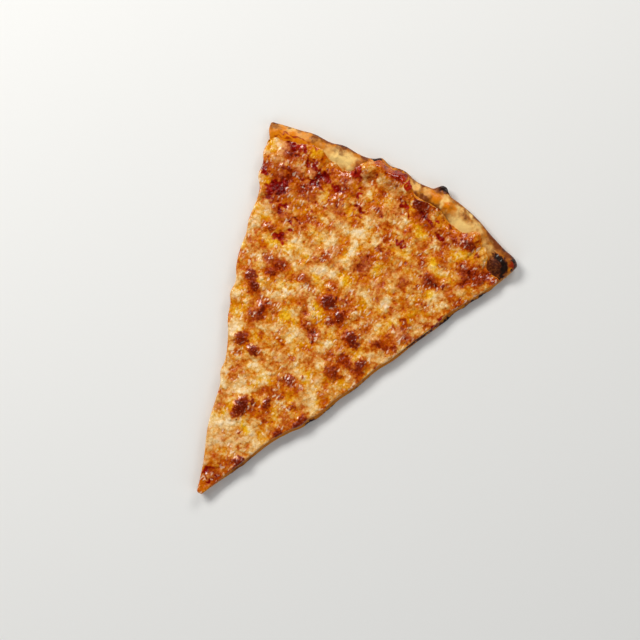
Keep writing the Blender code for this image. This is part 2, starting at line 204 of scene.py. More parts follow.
class Solid:
    """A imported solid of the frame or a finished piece, read by straight rays, in millimetres."""

    REACH = 40.0
    HALVINGS = 14

    def __init__(self, piece: bpy.types.Object) -> None:
        """Reads the mesh of a node or of a finished piece."""
        mesh = piece.data
        mesh.calc_loop_triangles()
        points = [vertex.co / MM for vertex in mesh.vertices]
        faces = [tuple(triangle.vertices) for triangle in mesh.loop_triangles]
        self.tree = BVHTree.FromPolygons(points, faces)

    def top(self, x: float, y: float) -> float:
        """Height of the solid's top, or nan beside it."""
        hit = self.tree.ray_cast(Vector((x, y, self.REACH)), Vector((0, 0, -1)))[0]
        return math.nan if hit is None else hit.z

    def floor(self, x: float, y: float) -> float:
        """Height of the solid's underside, or nan beside it."""
        hit = self.tree.ray_cast(Vector((x, y, -self.REACH)), Vector((0, 0, 1)))[0]
        return math.nan if hit is None else hit.z

    def polar(self, radius: float, angle: float) -> bool:
        """Tells whether the solid is there, from the pie's middle outwards."""
        x = PIE_CENTRE[0] + radius * math.sin(angle)
        y = PIE_CENTRE[1] + radius * math.cos(angle)
        return not math.isnan(self.top(x, y))

    def edge(self, inside: float, outside: float, there: Callable[[float], bool]) -> float:
        """Finds by halving where the solid ends.

        Args:
            inside: A value at which it is there.
            outside: A value at which it isn't.
            there: The test.

        Returns:
            The value at its edge.
        """
        for _ in range(self.HALVINGS):
            middle = (inside + outside) / 2
            if there(middle):
                inside = middle
            else:
                outside = middle
        return inside


def polar_xy(radius: np.ndarray, angle: np.ndarray) -> np.ndarray:
    """Places (x, y) from distances and angles about the pie's middle."""
    x = PIE_CENTRE[0] + radius * np.sin(angle)
    y = PIE_CENTRE[1] + radius * np.cos(angle)
    return np.stack([x, y], axis=-1)


@dataclass
class Footprint:
    """A layer's outline from above, as angles of the two cuts and distances of the rim."""

    # Distances from the pie's middle, in mm: inside the slice near its tip, past the last reading
    # of a cut, past the rim, and where a cut's corner can begin
    TIP_INSIDE: ClassVar[float] = 20.0
    CUTS_END: ClassVar[float] = 244.0
    PAST_RIM: ClassVar[float] = 246.0
    CORNER_FROM: ClassVar[float] = 200.0
    # How a corner shows, in mm: the cut turns inward by the drop over half the reach
    CORNER_REACH: ClassVar[float] = 5.0
    CORNER_DROP: ClassVar[float] = 1.8
    # Angles in radians: the widest start of a search, its way back from the last edge, its end
    WIDEST_START: ClassVar[float] = 0.30
    WAY_BACK: ClassVar[float] = 0.06
    PAST_CUTS: ClassVar[float] = 0.62
    TIP_GAP: ClassVar[float] = 0.1
    RIM_GAP: ClassVar[float] = 0.001
    RIM_READINGS: ClassVar[int] = 700

    solid: Solid
    step: float = 0.5
    near: float = field(init=False)
    left: np.ndarray = field(init=False)
    right: np.ndarray = field(init=False)
    left_radii: np.ndarray = field(init=False)
    right_radii: np.ndarray = field(init=False)
    angles: np.ndarray = field(init=False)
    outer: np.ndarray = field(init=False)

    def __post_init__(self) -> None:
        """Reads the outline from the solid."""
        solid = self.solid
        self.near = solid.edge(self.TIP_INSIDE, 0.0, lambda radius: solid.polar(radius, 0.0)) + self.TIP_GAP
        sides = {-1: [], 1: []}
        radii = np.arange(self.near, self.CUTS_END, self.step)
        for sign, found in sides.items():
            for radius in radii:
                back = max(0.0, abs(found[-1]) - self.WAY_BACK) if found else 0.0
                start = sign * min(self.WIDEST_START, back)
                if not solid.polar(radius, start):
                    break
                end = sign * self.PAST_CUTS
                found.append(solid.edge(start, end, lambda angle: solid.polar(radius, angle)))
            del found[self._corner(np.abs(found) * radii[: len(found)]):]
        count = min(len(found) for found in sides.values())
        self.left, self.right = np.array(sides[-1]), np.array(sides[1])
        self.left_radii, self.right_radii = radii[: len(self.left)], radii[: len(self.right)]
        ends = self.left[-1] + self.RIM_GAP, self.right[-1] - self.RIM_GAP
        self.angles = np.linspace(*ends, self.RIM_READINGS)
        start = float(radii[count - 1]) - self.CORNER_REACH
        self.outer = np.array([
            solid.edge(start, self.PAST_RIM, lambda radius: solid.polar(radius, angle))
            for angle in self.angles
        ])

    def _corner(self, away: np.ndarray) -> int:
        """Finds the reading at which a cut ends and the rim begins.

        Args:
            away: Distance of each reading from the slice's middle line, in mm.

        Returns:
            The number of readings that belong to the cut.
        """
        back = round(self.CORNER_REACH / 2 / self.step)
        first = round((self.CORNER_FROM - self.near) / self.step)
        for number in range(first, len(away)):
            if away[number - back] - away[number] > self.CORNER_DROP:
                return number - back + int(np.argmax(away[number - back : number]))
        return len(away)

    def side(self, sign: int, radius: np.ndarray, inset: float = 0.0) -> np.ndarray:
        """Angle of a cut at some distances from the pie's middle.

        Args:
            sign: -1 for the left cut and 1 for the right one.
            radius: The distances, in mm.
            inset: How far inside the cut, in mm.

        Returns:
            The angles in radians.
        """
        if sign < 0:
            return np.interp(radius, self.left_radii, self.left) + inset / radius
        return np.interp(radius, self.right_radii, self.right) - inset / radius

    def rim(self, angle: np.ndarray, inset: float = 0.0) -> np.ndarray:
        """Distance of the outer edge at some angles, less an inset."""
        return np.interp(angle, self.angles, self.outer) - inset


@dataclass(frozen=True)
class Insets:
    """How far inside its outline a layer's top and floor begin, on each side, in mm."""

    left: float
    right: float
    rim: float
    tip: float


@dataclass
class Contour:
    """A layer's outline and, for each of its points, the place inside that its wall turns about."""

    TIP_POINTS: ClassVar[int] = 10
    CORNER_ROUNDS: ClassVar[int] = 4
    # Deviations of the smoothing along the two loops, in points
    OUTLINE_SMOOTH: ClassVar[float] = 1.6
    INNER_SMOOTH: ClassVar[float] = 1.2

    foot: Footprint
    insets: Insets
    step: float = 0.5
    near: float = field(init=False)
    outline: np.ndarray = field(init=False)
    inner: np.ndarray = field(init=False)

    def __post_init__(self) -> None:
        """Walks round the slice: tip, right cut, rim, left cut."""
        foot, inset, points = self.foot, self.insets, self.TIP_POINTS
        self.near = near = foot.near + inset.tip
        corner_left = self._corner(-1, inset.left)
        corner_right = self._corner(1, inset.right)
        last_left, last_right = foot.left_radii[-1], foot.right_radii[-1]
        tip = np.linspace(foot.left[0], foot.right[0], points)
        inner_tip = np.linspace(
            float(foot.side(-1, near, inset.left)), float(foot.side(1, near, inset.right)), points
        )
        right = np.arange(foot.near, last_right, self.step)
        left = np.arange(last_left, foot.near, -self.step)
        gap = self.step / foot.outer.mean()
        rim = np.arange(foot.right[-1], foot.left[-1], -gap)
        outline = [
            polar_xy(np.full(points, foot.near), tip),
            polar_xy(right, foot.side(1, right)),
            polar_xy(foot.rim(rim), rim),
            polar_xy(left, foot.side(-1, left)),
        ]
        right_in = np.clip(right, near, corner_right[0])
        left_in = np.clip(left, near, corner_left[0])
        rim_in = np.clip(rim, corner_left[1], corner_right[1])
        inner = [
            polar_xy(np.full(points, near), inner_tip),
            polar_xy(right_in, foot.side(1, right_in, inset.right)),
            polar_xy(foot.rim(rim_in, inset.rim), rim_in),
            polar_xy(left_in, foot.side(-1, left_in, inset.left)),
        ]
        self.outline, self.inner = self._even(np.concatenate(outline), np.concatenate(inner))

    def _corner(self, sign: int, inset: float) -> tuple[float, float]:
        """Distance and angle of an inner corner at the rim."""
        radius = float(self.foot.outer[0 if sign < 0 else -1]) - self.insets.rim
        for _ in range(self.CORNER_ROUNDS):
            angle = float(self.foot.side(sign, radius, inset))
            radius = float(self.foot.rim(angle, self.insets.rim))
        return radius, angle

    def _even(self, outline: np.ndarray, inner: np.ndarray) -> tuple[np.ndarray, np.ndarray]:
        """Spaces the points evenly and smooths them a little."""
        lines = [np.concatenate([line, line[:1]]) for line in (outline, inner)]
        steps = np.hypot(*np.diff(lines[0], axis=0).T)
        length = np.concatenate([[0.0], np.cumsum(steps)])
        count = int(length[-1] / self.step)
        at = np.linspace(0.0, length[-1], count, endpoint=False)
        even = [np.stack([np.interp(at, length, axis) for axis in line.T], axis=1) for line in lines]
        return smooth_loop(even[0], self.OUTLINE_SMOOTH), smooth_loop(even[1], self.INNER_SMOOTH)


def smooth_loop(values: np.ndarray, spread: float) -> np.ndarray:
    """Smooths numbers that run round a closed loop.

    Args:
        values: One row for each point.
        spread: Deviation of the bell curve, in points.

    Returns:
        The smoothed rows.
    """
    reach = int(3 * spread) + 1
    shifts = range(-reach, reach + 1)
    weights = np.exp(-0.5 * (np.array(shifts) / spread) ** 2)
    weights /= weights.sum()
    return sum(weight * np.roll(values, shift, axis=0) for weight, shift in zip(weights, shifts))


@dataclass
class MeshParts:
    """Points and triangles of a mesh while it is put together, in mm."""

    points: list = field(default_factory=list)
    faces: list = field(default_factory=list)
    count: int = 0

    def add(self, points: np.ndarray) -> np.ndarray:
        """Adds points and gives their numbers."""
        self.points.append(points)
        numbers = np.arange(self.count, self.count + len(points))
        self.count += len(points)
        return numbers

    def strip(self, lower: Sequence[int], upper: Sequence[int], turn: bool) -> None:
        """Fills between two open rows by their shares along the rows.

        Args:
            lower: Numbers of the first row.
            upper: Numbers of the second row.
            turn: Whether the triangles face down.
        """
        low, high = 0, 0
        last_low, last_high = len(lower) - 1, len(upper) - 1
        while low < last_low or high < last_high:
            if high == last_high or (low < last_low and (low + 1) * last_high <= (high + 1) * last_low):
                face = (lower[low], lower[low + 1], upper[high])
                low += 1
            else:
                face = (lower[low], upper[high + 1], upper[high])
                high += 1
            self.faces.append(face[::-1] if turn else face)

    def ring(self, first: np.ndarray, second: np.ndarray) -> None:
        """Fills between two closed loops of as many points, the second one above or inside."""
        after_first, after_second = np.roll(first, -1), np.roll(second, -1)
        self.faces.extend(zip(first, after_first, after_second))
        self.faces.extend(zip(first, after_second, second))

    def stitch(self, outer: np.ndarray, inner: np.ndarray, places: np.ndarray, turn: bool) -> None:
        """Fills between two closed loops of different numbers of points.

        Args:
            outer: Numbers of the outer loop, counterclockwise from above.
            inner: Numbers of the inner loop, the same way round.
            places: All points so far, by number.
            turn: Whether the triangles face down.
        """
        flat = places[:, :2]
        start = int(np.argmin(np.hypot(*(flat[inner] - flat[outer[0]]).T)))
        inner = np.roll(inner, -start)
        outer = np.append(outer, outer[0])
        inner = np.append(inner, inner[0])
        here, there = 0, 0
        while here < len(outer) - 1 or there < len(inner) - 1:
            if there == len(inner) - 1:
                step_outer = True
            elif here == len(outer) - 1:
                step_outer = False
            else:
                one = flat[outer[here + 1]] - flat[inner[there]]
                other = flat[inner[there + 1]] - flat[outer[here]]
                step_outer = one @ one <= other @ other
            if step_outer:
                face = (outer[here], outer[here + 1], inner[there])
                here += 1
            else:
                face = (outer[here], inner[there + 1], inner[there])
                there += 1
            self.faces.append(face[::-1] if turn else face)

    def all_points(self) -> np.ndarray:
        """All points so far, by number."""
        return np.concatenate(self.points)


@dataclass(frozen=True)
class Weave:
    """Spacing of a layer's net: rows from tip to rim, as inner stretch and outer stretch."""

    inner_step: float
    outer_step: float
    outer_reach: float


class LayerMesh:
    """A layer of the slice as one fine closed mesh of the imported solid's form."""

    # Readings of a section, closer together near the edge, with the least depth as a share
    SECTION_READINGS = 14
    SECTION_POWER = 1.6
    LEAST_DEPTH = 0.004
    ROUNDINGS = 3
    LOOP_SMOOTH = 1.6
    ROW_ROUNDS = 3
    # Smoothing of the heights beside the solid, as a multiple, and the weight that counts as beside
    FAR = 4
    BESIDE = 1e-4
    TINY = 1e-9
    # Spacing of the height readings, in mm, and gap between wall and net, in steps of the net
    TOP_SPACING, FLOOR_SPACING = 0.75, 1.5
    TOP_GAP, FLOOR_GAP = 0.7, 0.5
    MERGE_DIGITS = 4

    def __init__(self, node: str, insets: Insets, chart: Chart) -> None:
        """Reads the layer's solid.

        Args:
            node: Name of the CAD node.
            insets: Where its top and floor begin.
            chart: Grid for its heights.
        """
        self.node = node
        self.solid = Solid(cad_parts[node])
        self.foot = Footprint(self.solid)
        self.contour = Contour(self.foot, insets)
        self.insets = insets
        self.chart = chart
        self.parts = MeshParts()

    def heights(self, read: Callable[[float, float], float], coarse: float, smooth: float) -> np.ndarray:
        """Reads a smooth height field from the solid.

        Args:
            read: Height at one place, nan beside the solid.
            coarse: Spacing of the readings, in mm.
            smooth: Deviation of the smoothing, in mm.

        Returns:
            Heights on the chart, in mm.
        """
        chart = self.chart
        skip = max(1, round(coarse / chart.step))
        x, y = chart.x[::skip, ::skip], chart.y[::skip, ::skip]
        raw = np.array([read(px, py) for px, py in zip(x.ravel(), y.ravel())]).reshape(x.shape)
        known = ~np.isnan(raw)
        full = np.zeros_like(chart.x)
        mask = np.zeros_like(chart.x)
        full[::skip, ::skip] = np.where(known, raw, 0.0)
        mask[::skip, ::skip] = known
        top, weight = chart.blur(full, smooth), chart.blur(mask, smooth)
        wide = self.FAR * smooth
        far = chart.blur(full, wide) / np.maximum(chart.blur(mask, wide), self.TINY)
        return np.where(weight > self.BESIDE, top / np.maximum(weight, self.BESIDE), far)

    def wall(self, levels: int) -> list[np.ndarray]:
        """Reads the wall as closed loops from the top's edge round to the floor's edge.

        Args:
            levels: Number of loops.

        Returns:
            One array of places (x, y, z) for each loop, in mm.
        """
        outline, inner = self.contour.outline, self.contour.inner
        depths = np.linspace(1.0, 0.0, self.SECTION_READINGS) ** self.SECTION_POWER
        depths = np.maximum(depths, self.LEAST_DEPTH)
        loops = np.zeros((levels, len(outline), 3))
        for number, (out, core) in enumerate(zip(outline, inner)):
            spots = out + (core - out) * depths[:, None]
            top = np.array([self.solid.top(*spot) for spot in spots])
            floor = np.array([self.solid.floor(*spot) for spot in spots])
            known = ~np.isnan(top)
            far = float(np.hypot(*(core - out)))
            if not known.all():
                top = np.interp(-depths, -depths[known], top[known])
                floor = np.interp(-depths, -depths[known], floor[known])
            away = np.concatenate([depths * far, (depths * far)[::-1]])
            height = np.concatenate([top, floor[::-1]])
            steps = np.hypot(np.diff(away), np.diff(height))
            length = np.concatenate([[0.0], np.cumsum(steps)])
            at = np.linspace(0.0, length[-1], levels)
            share = np.interp(at, length, away) / far
            loops[:, number, :2] = out + (core - out) * share[:, None]
            loops[:, number, 2] = np.interp(at, length, height)
        loops = self._round_edges(loops)
        return [smooth_loop(loop, self.LOOP_SMOOTH) for loop in loops]

    def _round_edges(self, loops: np.ndarray) -> np.ndarray:
        """Rounds the section's corners, with its two ends kept."""
        for _ in range(self.ROUNDINGS):
            middle = (loops[:-2] + 2.0 * loops[1:-1] + loops[2:]) / 4.0
            loops = np.concatenate([loops[:1], middle, loops[-1:]])
        return loops

    def net(self, weave: Weave, margin: float, height: np.ndarray, down: bool) -> np.ndarray:
        """Fills the area inside the wall with rows of triangles.

        Args:
            weave: Spacing of the rows.
            margin: Distance from the wall's edge, in mm.
            height: Heights on the chart.
            down: Whether the net faces down.

        Returns:
            Numbers of its border, counterclockwise from above.
        """
        foot, inset, contour = self.foot, self.insets, self.contour
        near = contour.near + margin
        length = float(foot.rim(0.0, inset.rim + margin)) - near
        outer_rows = max(1, round(weave.outer_reach / weave.outer_step))
        inner_rows = max(2, round((length - weave.outer_reach) / weave.inner_step))
        split = 1.0 - weave.outer_reach / length
        shares = list(np.linspace(0.0, split, inner_rows, endpoint=False))
        shares += list(np.linspace(split, 1.0, outer_rows + 1))
        rows = []
        for share in shares:
            step = weave.outer_step if share >= split - self.TINY else weave.inner_step
            base = near + length * share
            width = base * float(foot.side(1, base) - foot.side(-1, base))
            columns = max(2, round(width / step))
            across = np.linspace(0.0, 1.0, columns + 1)
            radius = np.full(columns + 1, base)
            for _ in range(self.ROW_ROUNDS):
                left = foot.side(-1, radius, inset.left + margin)
                right = foot.side(1, radius, inset.right + margin)
                angle = blend(left, right, across)
                radius = near + (foot.rim(angle, inset.rim + margin) - near) * share
            place = polar_xy(radius, angle)
            z = self.chart.read(height, place[:, 0], place[:, 1])
            rows.append(self.parts.add(np.column_stack([place, z])))
        for lower, upper in zip(rows, rows[1:]):
            self.parts.strip(lower, upper, down)
        right_side = [row[-1] for row in rows[1:-1]]
        left_side = [row[0] for row in rows[-2:0:-1]]
        return np.array([*rows[0], *right_side, *rows[-1][::-1], *left_side])

    def build(self, top: Weave, floor: Weave, levels: int, smooth: float) -> bpy.types.Object:
        """Makes the closed mesh of top, wall and floor.

        Args:
            top: Spacing of the top's net.
            floor: Spacing of the floor's net.
            levels: Number of loops in the wall.
            smooth: Smoothing of the heights, in mm.

        Returns:
            The new object, in metres.
        """
        top_height = self.heights(self.solid.top, self.TOP_SPACING, smooth)
        floor_height = self.heights(self.solid.floor, self.FLOOR_SPACING, 2 * smooth)
        loops = self.wall(levels)
        edge = loops[0]
        edge[:, 2] = self.chart.read(top_height, edge[:, 0], edge[:, 1])
        numbers = [self.parts.add(loop) for loop in loops]
        for upper, lower in zip(numbers, numbers[1:]):
            self.parts.ring(lower, upper)
        top_border = self.net(top, self.TOP_GAP * top.outer_step, top_height, False)
        floor_border = self.net(floor, self.FLOOR_GAP * floor.outer_step, floor_height, True)
        places = self.parts.all_points()
        self.parts.stitch(numbers[0], top_border, places, False)
        self.parts.stitch(numbers[-1], floor_border, places, True)
        return self._object(places)

    def _object(self, places: np.ndarray) -> bpy.types.Object:
        """Turns the parts into an object, with doubled corner points merged."""
        mesh = bpy.data.meshes.new(self.node + "_fine")
        keys = np.round(places, self.MERGE_DIGITS)
        _, first, back = np.unique(keys, axis=0, return_index=True, return_inverse=True)
        faces = back.reshape(-1)[np.array(self.parts.faces, dtype=np.int32)]
        faces = faces[(faces != np.roll(faces, -1, axis=1)).all(axis=1)]
        points = places[first] * MM
        mesh.vertices.add(len(points))
        mesh.vertices.foreach_set("co", points.ravel().astype(np.float32))
        mesh.loops.add(faces.size)
        mesh.loops.foreach_set("vertex_index", faces.ravel().astype(np.int32))
        mesh.polygons.add(len(faces))
        mesh.polygons.foreach_set("loop_start", np.arange(0, faces.size, 3, dtype=np.int32))
        mesh.update(calc_edges=True)
        mesh.validate()
        mesh.shade_smooth()
        return new_object(mesh.name, mesh)


def new_object(name: str, data: bpy.types.ID) -> bpy.types.Object:
    """Makes an object of some data and puts it in the scene."""
    made = bpy.data.objects.new(name, data)
    bpy.context.scene.collection.objects.link(made)
    return made


def attach(made: bpy.types.Object, marks: dict[str, np.ndarray]) -> None:
    """Stores one number for each vertex under each name, which finishes and nodes read."""
    for name, values in marks.items():
        layer = made.data.attributes.new(name, "FLOAT", "POINT")
        layer.data.foreach_set("value", values.astype(np.float32))


def vertex_table(made: bpy.types.Object) -> tuple[np.ndarray, np.ndarray]:
    """Places and normals of an object's vertices, in mm."""
    count = len(made.data.vertices)
    places, normals = np.empty(3 * count), np.empty(3 * count)
    made.data.vertices.foreach_get("co", places)
    made.data.vertices.foreach_get("normal", normals)
    return places.reshape(-1, 3) / MM, normals.reshape(-1, 3)


def move_vertices(made: bpy.types.Object, places: np.ndarray) -> None:
    """Puts an object's vertices at new places, given in mm."""
    made.data.vertices.foreach_set("co", (places * MM).ravel())
    made.data.update()


def srgb(red: float, green: float, blue: float) -> tuple[float, float, float, float]:
    """Linear colour from the usual numbers from 0 to 255."""
    linear = []
    for value in (red, green, blue):
        part = value / 255.0
        linear.append(part / 12.92 if part <= 0.04045 else ((part + 0.055) / 1.055) ** 2.4)
    return (linear[0], linear[1], linear[2], 1.0)


def stops(*rows: tuple[float, float, float, float]) -> tuple:
    """Stops of a ramp from rows of place, red, green and blue."""
    return tuple((place, srgb(*colour)) for place, *colour in rows)


Term = Union["Wire", float]


class Wire:
    """An output of a node, with the usual signs of arithmetic."""

    def __init__(self, bench: "Bench", socket: bpy.types.NodeSocket) -> None:
        """Keeps the socket and the bench that it belongs to."""
        self.bench = bench
        self.socket = socket

    def __add__(self, other: Term) -> "Wire":
        """Sum."""
        return self.bench.math("ADD", self, other)

    def __radd__(self, other: Term) -> "Wire":
        """Sum with a number first."""
        return self.bench.math("ADD", other, self)

    def __sub__(self, other: Term) -> "Wire":
        """Difference."""
        return self.bench.math("SUBTRACT", self, other)

    def __rsub__(self, other: Term) -> "Wire":
        """Difference with a number first."""
        return self.bench.math("SUBTRACT", other, self)

    def __mul__(self, other: Term) -> "Wire":
        """Product."""
        return self.bench.math("MULTIPLY", self, other)

    def __rmul__(self, other: Term) -> "Wire":
        """Product with a number first."""
        return self.bench.math("MULTIPLY", other, self)

    def __rtruediv__(self, other: Term) -> "Wire":
        """Quotient with a number first."""
        return self.bench.math("DIVIDE", other, self)

    def step(self, low: float, high: float) -> "Wire":
        """Smooth step between two limits."""
        return self.bench.step(self, low, high)


class Bench:
    """Adds and links the nodes of one tree."""

    def __init__(self, tree: bpy.types.NodeTree) -> None:
        """Keeps the tree."""
        self.tree = tree

    def node(self, kind: str, settings: dict | None = None, values: dict | None = None) -> bpy.types.Node:
        """Adds a node.

        Args:
            kind: Type of the node.
            settings: Its properties, which are set first.
            values: A value or a wire for each input's name or number.

        Returns:
            The node.
        """
        made = self.tree.nodes.new(kind)
        for name, value in (settings or {}).items():
            setattr(made, name, value)
        for key, value in (values or {}).items():
            if isinstance(value, Wire):
                self.tree.links.new(value.socket, made.inputs[key])
            else:
                made.inputs[key].default_value = value
        return made

    def wire(
        self, kind: str, settings: dict | None = None, values: dict | None = None, output: str | int = 0
    ) -> Wire:
        """Adds a node and gives one of its outputs as a wire."""
        return Wire(self, self.node(kind, settings, values).outputs[output])

    def math(self, operation: str, *terms: Term) -> Wire:
        """Result of an operation on numbers."""
        return self.wire("ShaderNodeMath", {"operation": operation}, dict(enumerate(terms)))

    def vector(self, operation: str, values: dict) -> Wire:
        """Result of an operation on vectors."""
        return self.wire("ShaderNodeVectorMath", {"operation": operation}, values)

    def step(self, value: Wire, low: float, high: float) -> Wire:
        """Smooth step between two limits, falling where low is above high."""
        ends = (low, high, 0.0, 1.0) if low < high else (high, low, 1.0, 0.0)
        values = dict(zip(("Value", "From Min", "From Max", "To Min", "To Max"), (value, *ends)))
        return self.wire("ShaderNodeMapRange", {"interpolation_type": "SMOOTHSTEP"}, values)

    def place(self) -> Wire:
        """Object coordinates, in metres."""
        return self.wire("ShaderNodeTexCoord", output="Object")

    def stretched(self, across: float, along: float, up: float) -> Wire:
        """Object coordinates times a factor for each axis."""
        return self.vector("MULTIPLY", {0: self.place(), 1: (across, along, up)})

    def shifted(self, reach: float, size: float) -> Wire:
        """Object coordinates moved about by noise; the reach and the noise's size are in mm."""
        values = {"Vector": self.place(), "Scale": 1.0 / (size * MM), "Detail": 2.0}
        stray = self.wire("ShaderNodeTexNoise", None, values, "Color")
        centred = self.vector("SUBTRACT", {0: stray, 1: (0.5, 0.5, 0.5)})
        scaled = self.vector("SCALE", {0: centred, "Scale": 2.0 * reach * MM})
        return self.vector("ADD", {0: self.place(), 1: scaled})

    def mask(self, name: str) -> Wire:
        """A number stored on the mesh, for a material."""
        return self.wire("ShaderNodeAttribute", {"attribute_name": name}, output="Fac")

    def frayed(self, name: str, stray: Wire, low: float = 0.0, high: float = 1.0) -> Wire:
        """A stored mask with its edge frayed by noise, stepped between two limits."""
        return (self.mask(name) + stray).step(low, high)

    def stored(self, name: str) -> Wire:
        """A number stored on the mesh, for a geometry group."""
        return self.wire("GeometryNodeInputNamedAttribute", {"data_type": "FLOAT"}, {"Name": name})

    def noise(
        self, size: float, detail: float = 2.0, rough: float = 0.5, place: Wire | None = None
    ) -> Wire:
        """Noise from 0 to 1 whose bumps are about one size across.

        Args:
            size: Width of a bump, in mm.
            detail: Number of finer layers.
            rough: Strength of the finer layers.
            place: Coordinates, in metres.

        Returns:
            The noise.
        """
        values = {"Scale": 1.0 / (size * MM), "Detail": detail, "Roughness": rough}
        return self.wire("ShaderNodeTexNoise", None, {"Vector": place or self.place(), **values}, "Fac")

    def cells(self, size: float, place: Wire | None = None) -> Wire:
        """Distance to the nearest of scattered points, in cells."""
        values = {"Vector": place or self.place(), "Scale": 1.0 / (size * MM)}
        return self.wire("ShaderNodeTexVoronoi", None, values, "Distance")

    def mix(self, share: Term, start: Union[Wire, tuple], end: Union[Wire, tuple]) -> Wire:
        """Mixes two colours."""
        values = {0: share, 6: start, 7: end}
        return self.wire("ShaderNodeMix", {"data_type": "RGBA", "clamp_factor": True}, values, 2)

    def ramp(self, place: Wire, stops: Sequence[tuple[float, tuple]]) -> Wire:
        """Runs through several colours.

        Args:
            place: Place on the ramp.
            stops: Place and colour of each stop, in rising order.

        Returns:
            The colour.
        """
        colour = stops[0][1]
        for (low, _), (high, next_colour) in zip(stops, stops[1:]):
            values = {"Value": place, "From Min": low, "From Max": high}
            share = self.wire("ShaderNodeMapRange", {"clamp": True}, values)
            colour = self.mix(share, colour, next_colour)
        return colour

    def bump(self, height: Wire, depth: float, below: Wire | None = None) -> Wire:
        """Normal of a relief.

        Args:
            height: Relief from 0 to 1.
            depth: Height of 1, in mm.
            below: Normal that it is added to.

        Returns:
            The normal.
        """
        values = {"Height": height, "Distance": depth * MM, "Strength": 1.0}
        if below is not None:
            values["Normal"] = below
        return self.wire("ShaderNodeBump", None, values)


def new_material(name: str) -> tuple[bpy.types.Material, Bench]:
    """Makes an empty material and the bench for its nodes."""
    made = bpy.data.materials.new(name)
    made.use_nodes = True
    made.node_tree.nodes.clear()
    return made, Bench(made.node_tree)


def surface(bench: Bench, colour: Union[Wire, tuple], values: dict) -> None:
    """Adds the surface shader, with its colour and its other values, and the output."""
    shader = bench.wire("ShaderNodeBsdfPrincipled", None, {"Base Color": colour, **values})
    bench.node("ShaderNodeOutputMaterial", None, {"Surface": shader})


@dataclass(frozen=True)
class CheeseFinish:
    """Melted cheese: golden oil and cream curds, both running to rust and maroon, red sauce, painted white
    glint streaks, and painted shade in the creases between lumps.
    """

    golden: tuple = stops(
        (0.00, 70, 8, 0), (0.14, 110, 23, 0), (0.28, 156, 49, 0), (0.42, 187, 83, 0),
        (0.56, 208, 121, 0), (0.70, 225, 158, 6), (0.84, 237, 188, 48), (1.00, 247, 214, 112),
    )
    curds: tuple = stops(
        (0.00, 70, 10, 0), (0.14, 114, 28, 1), (0.28, 158, 60, 4), (0.42, 192, 103, 20),
        (0.56, 214, 153, 74), (0.70, 230, 190, 128), (0.84, 243, 215, 168), (1.00, 252, 236, 210),
    )
    pink: tuple = srgb(222, 140, 100)
    sauce: tuple = stops(
        (0.00, 84, 2, 0), (0.30, 130, 10, 2), (0.60, 176, 34, 6), (1.00, 214, 78, 14),
    )
    blister: tuple = stops(
        (0.00, 78, 14, 2), (0.25, 124, 34, 4), (0.50, 168, 66, 8), (1.00, 214, 124, 30),
    )
    # Colour of the painted white glint streaks, which stand in for highlights
    painted_glint: tuple = srgb(252, 232, 200)
    # Width of the lumps and height of lumps and grains, in mm
    lump: float = 2.6
    lump_height: float = 0.55
    grain_height: float = 0.42
    # Share of pink in a pink place and of a painted white glint streak
    tint: float = 0.55
    rough: float = 0.25
    curd_rough: float = 0.20
    coat: float = 0.25
    shine_coat: float = 0.55
    coat_rough: float = 0.07
    specular: float = 0.15

    def build(self, name: str) -> bpy.types.Material:
        """Makes the material."""
        made, bench = new_material(name)
        fine = bench.noise(0.9, 3.0) - 0.5
        mottle = 1.05 * bench.noise(1.7, 2.0, 0.6) + 0.12 * bench.noise(5.2, 3.0, 0.6) - 0.585
        lumps = 0.62 - bench.cells(self.lump, bench.shifted(1.2, 2.5))
        # Oil and curds. The lumps darken the tone in the creases between them, which is painted shade, and
        # add cream curd on their tops.
        tone = bench.mask("tone") + 0.24 * fine + 0.40 * mottle + 0.14 * (lumps - 0.15)
        curd = bench.frayed("curd", 1.1 * mottle + 0.3 * fine + 0.5 * (lumps - 0.15))
        colour = bench.mix(curd, bench.ramp(tone, self.golden), bench.ramp(tone, self.curds))
        colour = bench.mix(self.tint * bench.mask("pink") * curd, colour, self.pink)
        # Painted highlights: thin white streaks, longer towards the rim, in clusters
        painted_glints = bench.noise(1.4, 1.0, place=bench.stretched(1.0, 0.5, 1.0)).step(0.57, 0.68)
        painted_glints = painted_glints * bench.noise(8.0, 1.0).step(0.42, 0.62)
        colour = bench.mix(self.tint * painted_glints, colour, self.painted_glint)
        # Blisters and sauce
        burn = bench.frayed("burn", 0.35 * mottle + 0.15 * fine)
        colour = bench.mix(burn, colour, bench.ramp(tone, self.blister))
        sauce = bench.frayed("sauce", 0.25 * mottle + 0.1 * fine, 0.02, 0.95)
        colour = bench.mix(sauce, colour, bench.ramp(tone + 0.4 * mottle - 0.15, self.sauce))
        shine = bench.mask("shine")
        grains = bench.noise(1.1, 1.0, place=bench.stretched(1.0, 0.7, 1.0))
        normal = bench.bump(lumps, self.lump_height)
        normal = bench.bump(grains * (0.6 + 0.5 * shine), self.grain_height, normal)
        surface(bench, colour, {
            "Roughness": self.rough + self.curd_rough * curd,
            "Coat Weight": self.coat + self.shine_coat * shine,
            "Coat Roughness": self.coat_rough,
            "Specular IOR Level": self.specular,
            "Normal": normal,
        })
        return made


@dataclass(frozen=True)
class SauceFinish:
    """Cooked tomato sauce with orange oil."""

    red: tuple = srgb(160, 50, 4)
    orange: tuple = srgb(212, 124, 14)
    relief: float = 0.3
    rough: float = 0.3
    coat: float = 0.4
    coat_rough: float = 0.15

    def build(self, name: str) -> bpy.types.Material:
        """Makes the material."""
        made, bench = new_material(name)
        share = (bench.noise(4.4, 3.0) - bench.mask("sauce")).step(0.2, 0.45)
        colour = bench.mix(share, self.red, self.orange)
        surface(bench, colour, {
            "Roughness": self.rough,
            "Coat Weight": self.coat,
            "Coat Roughness": self.coat_rough,
            "Normal": bench.bump(bench.noise(1.2, 2.0), self.relief),
        })
        return made


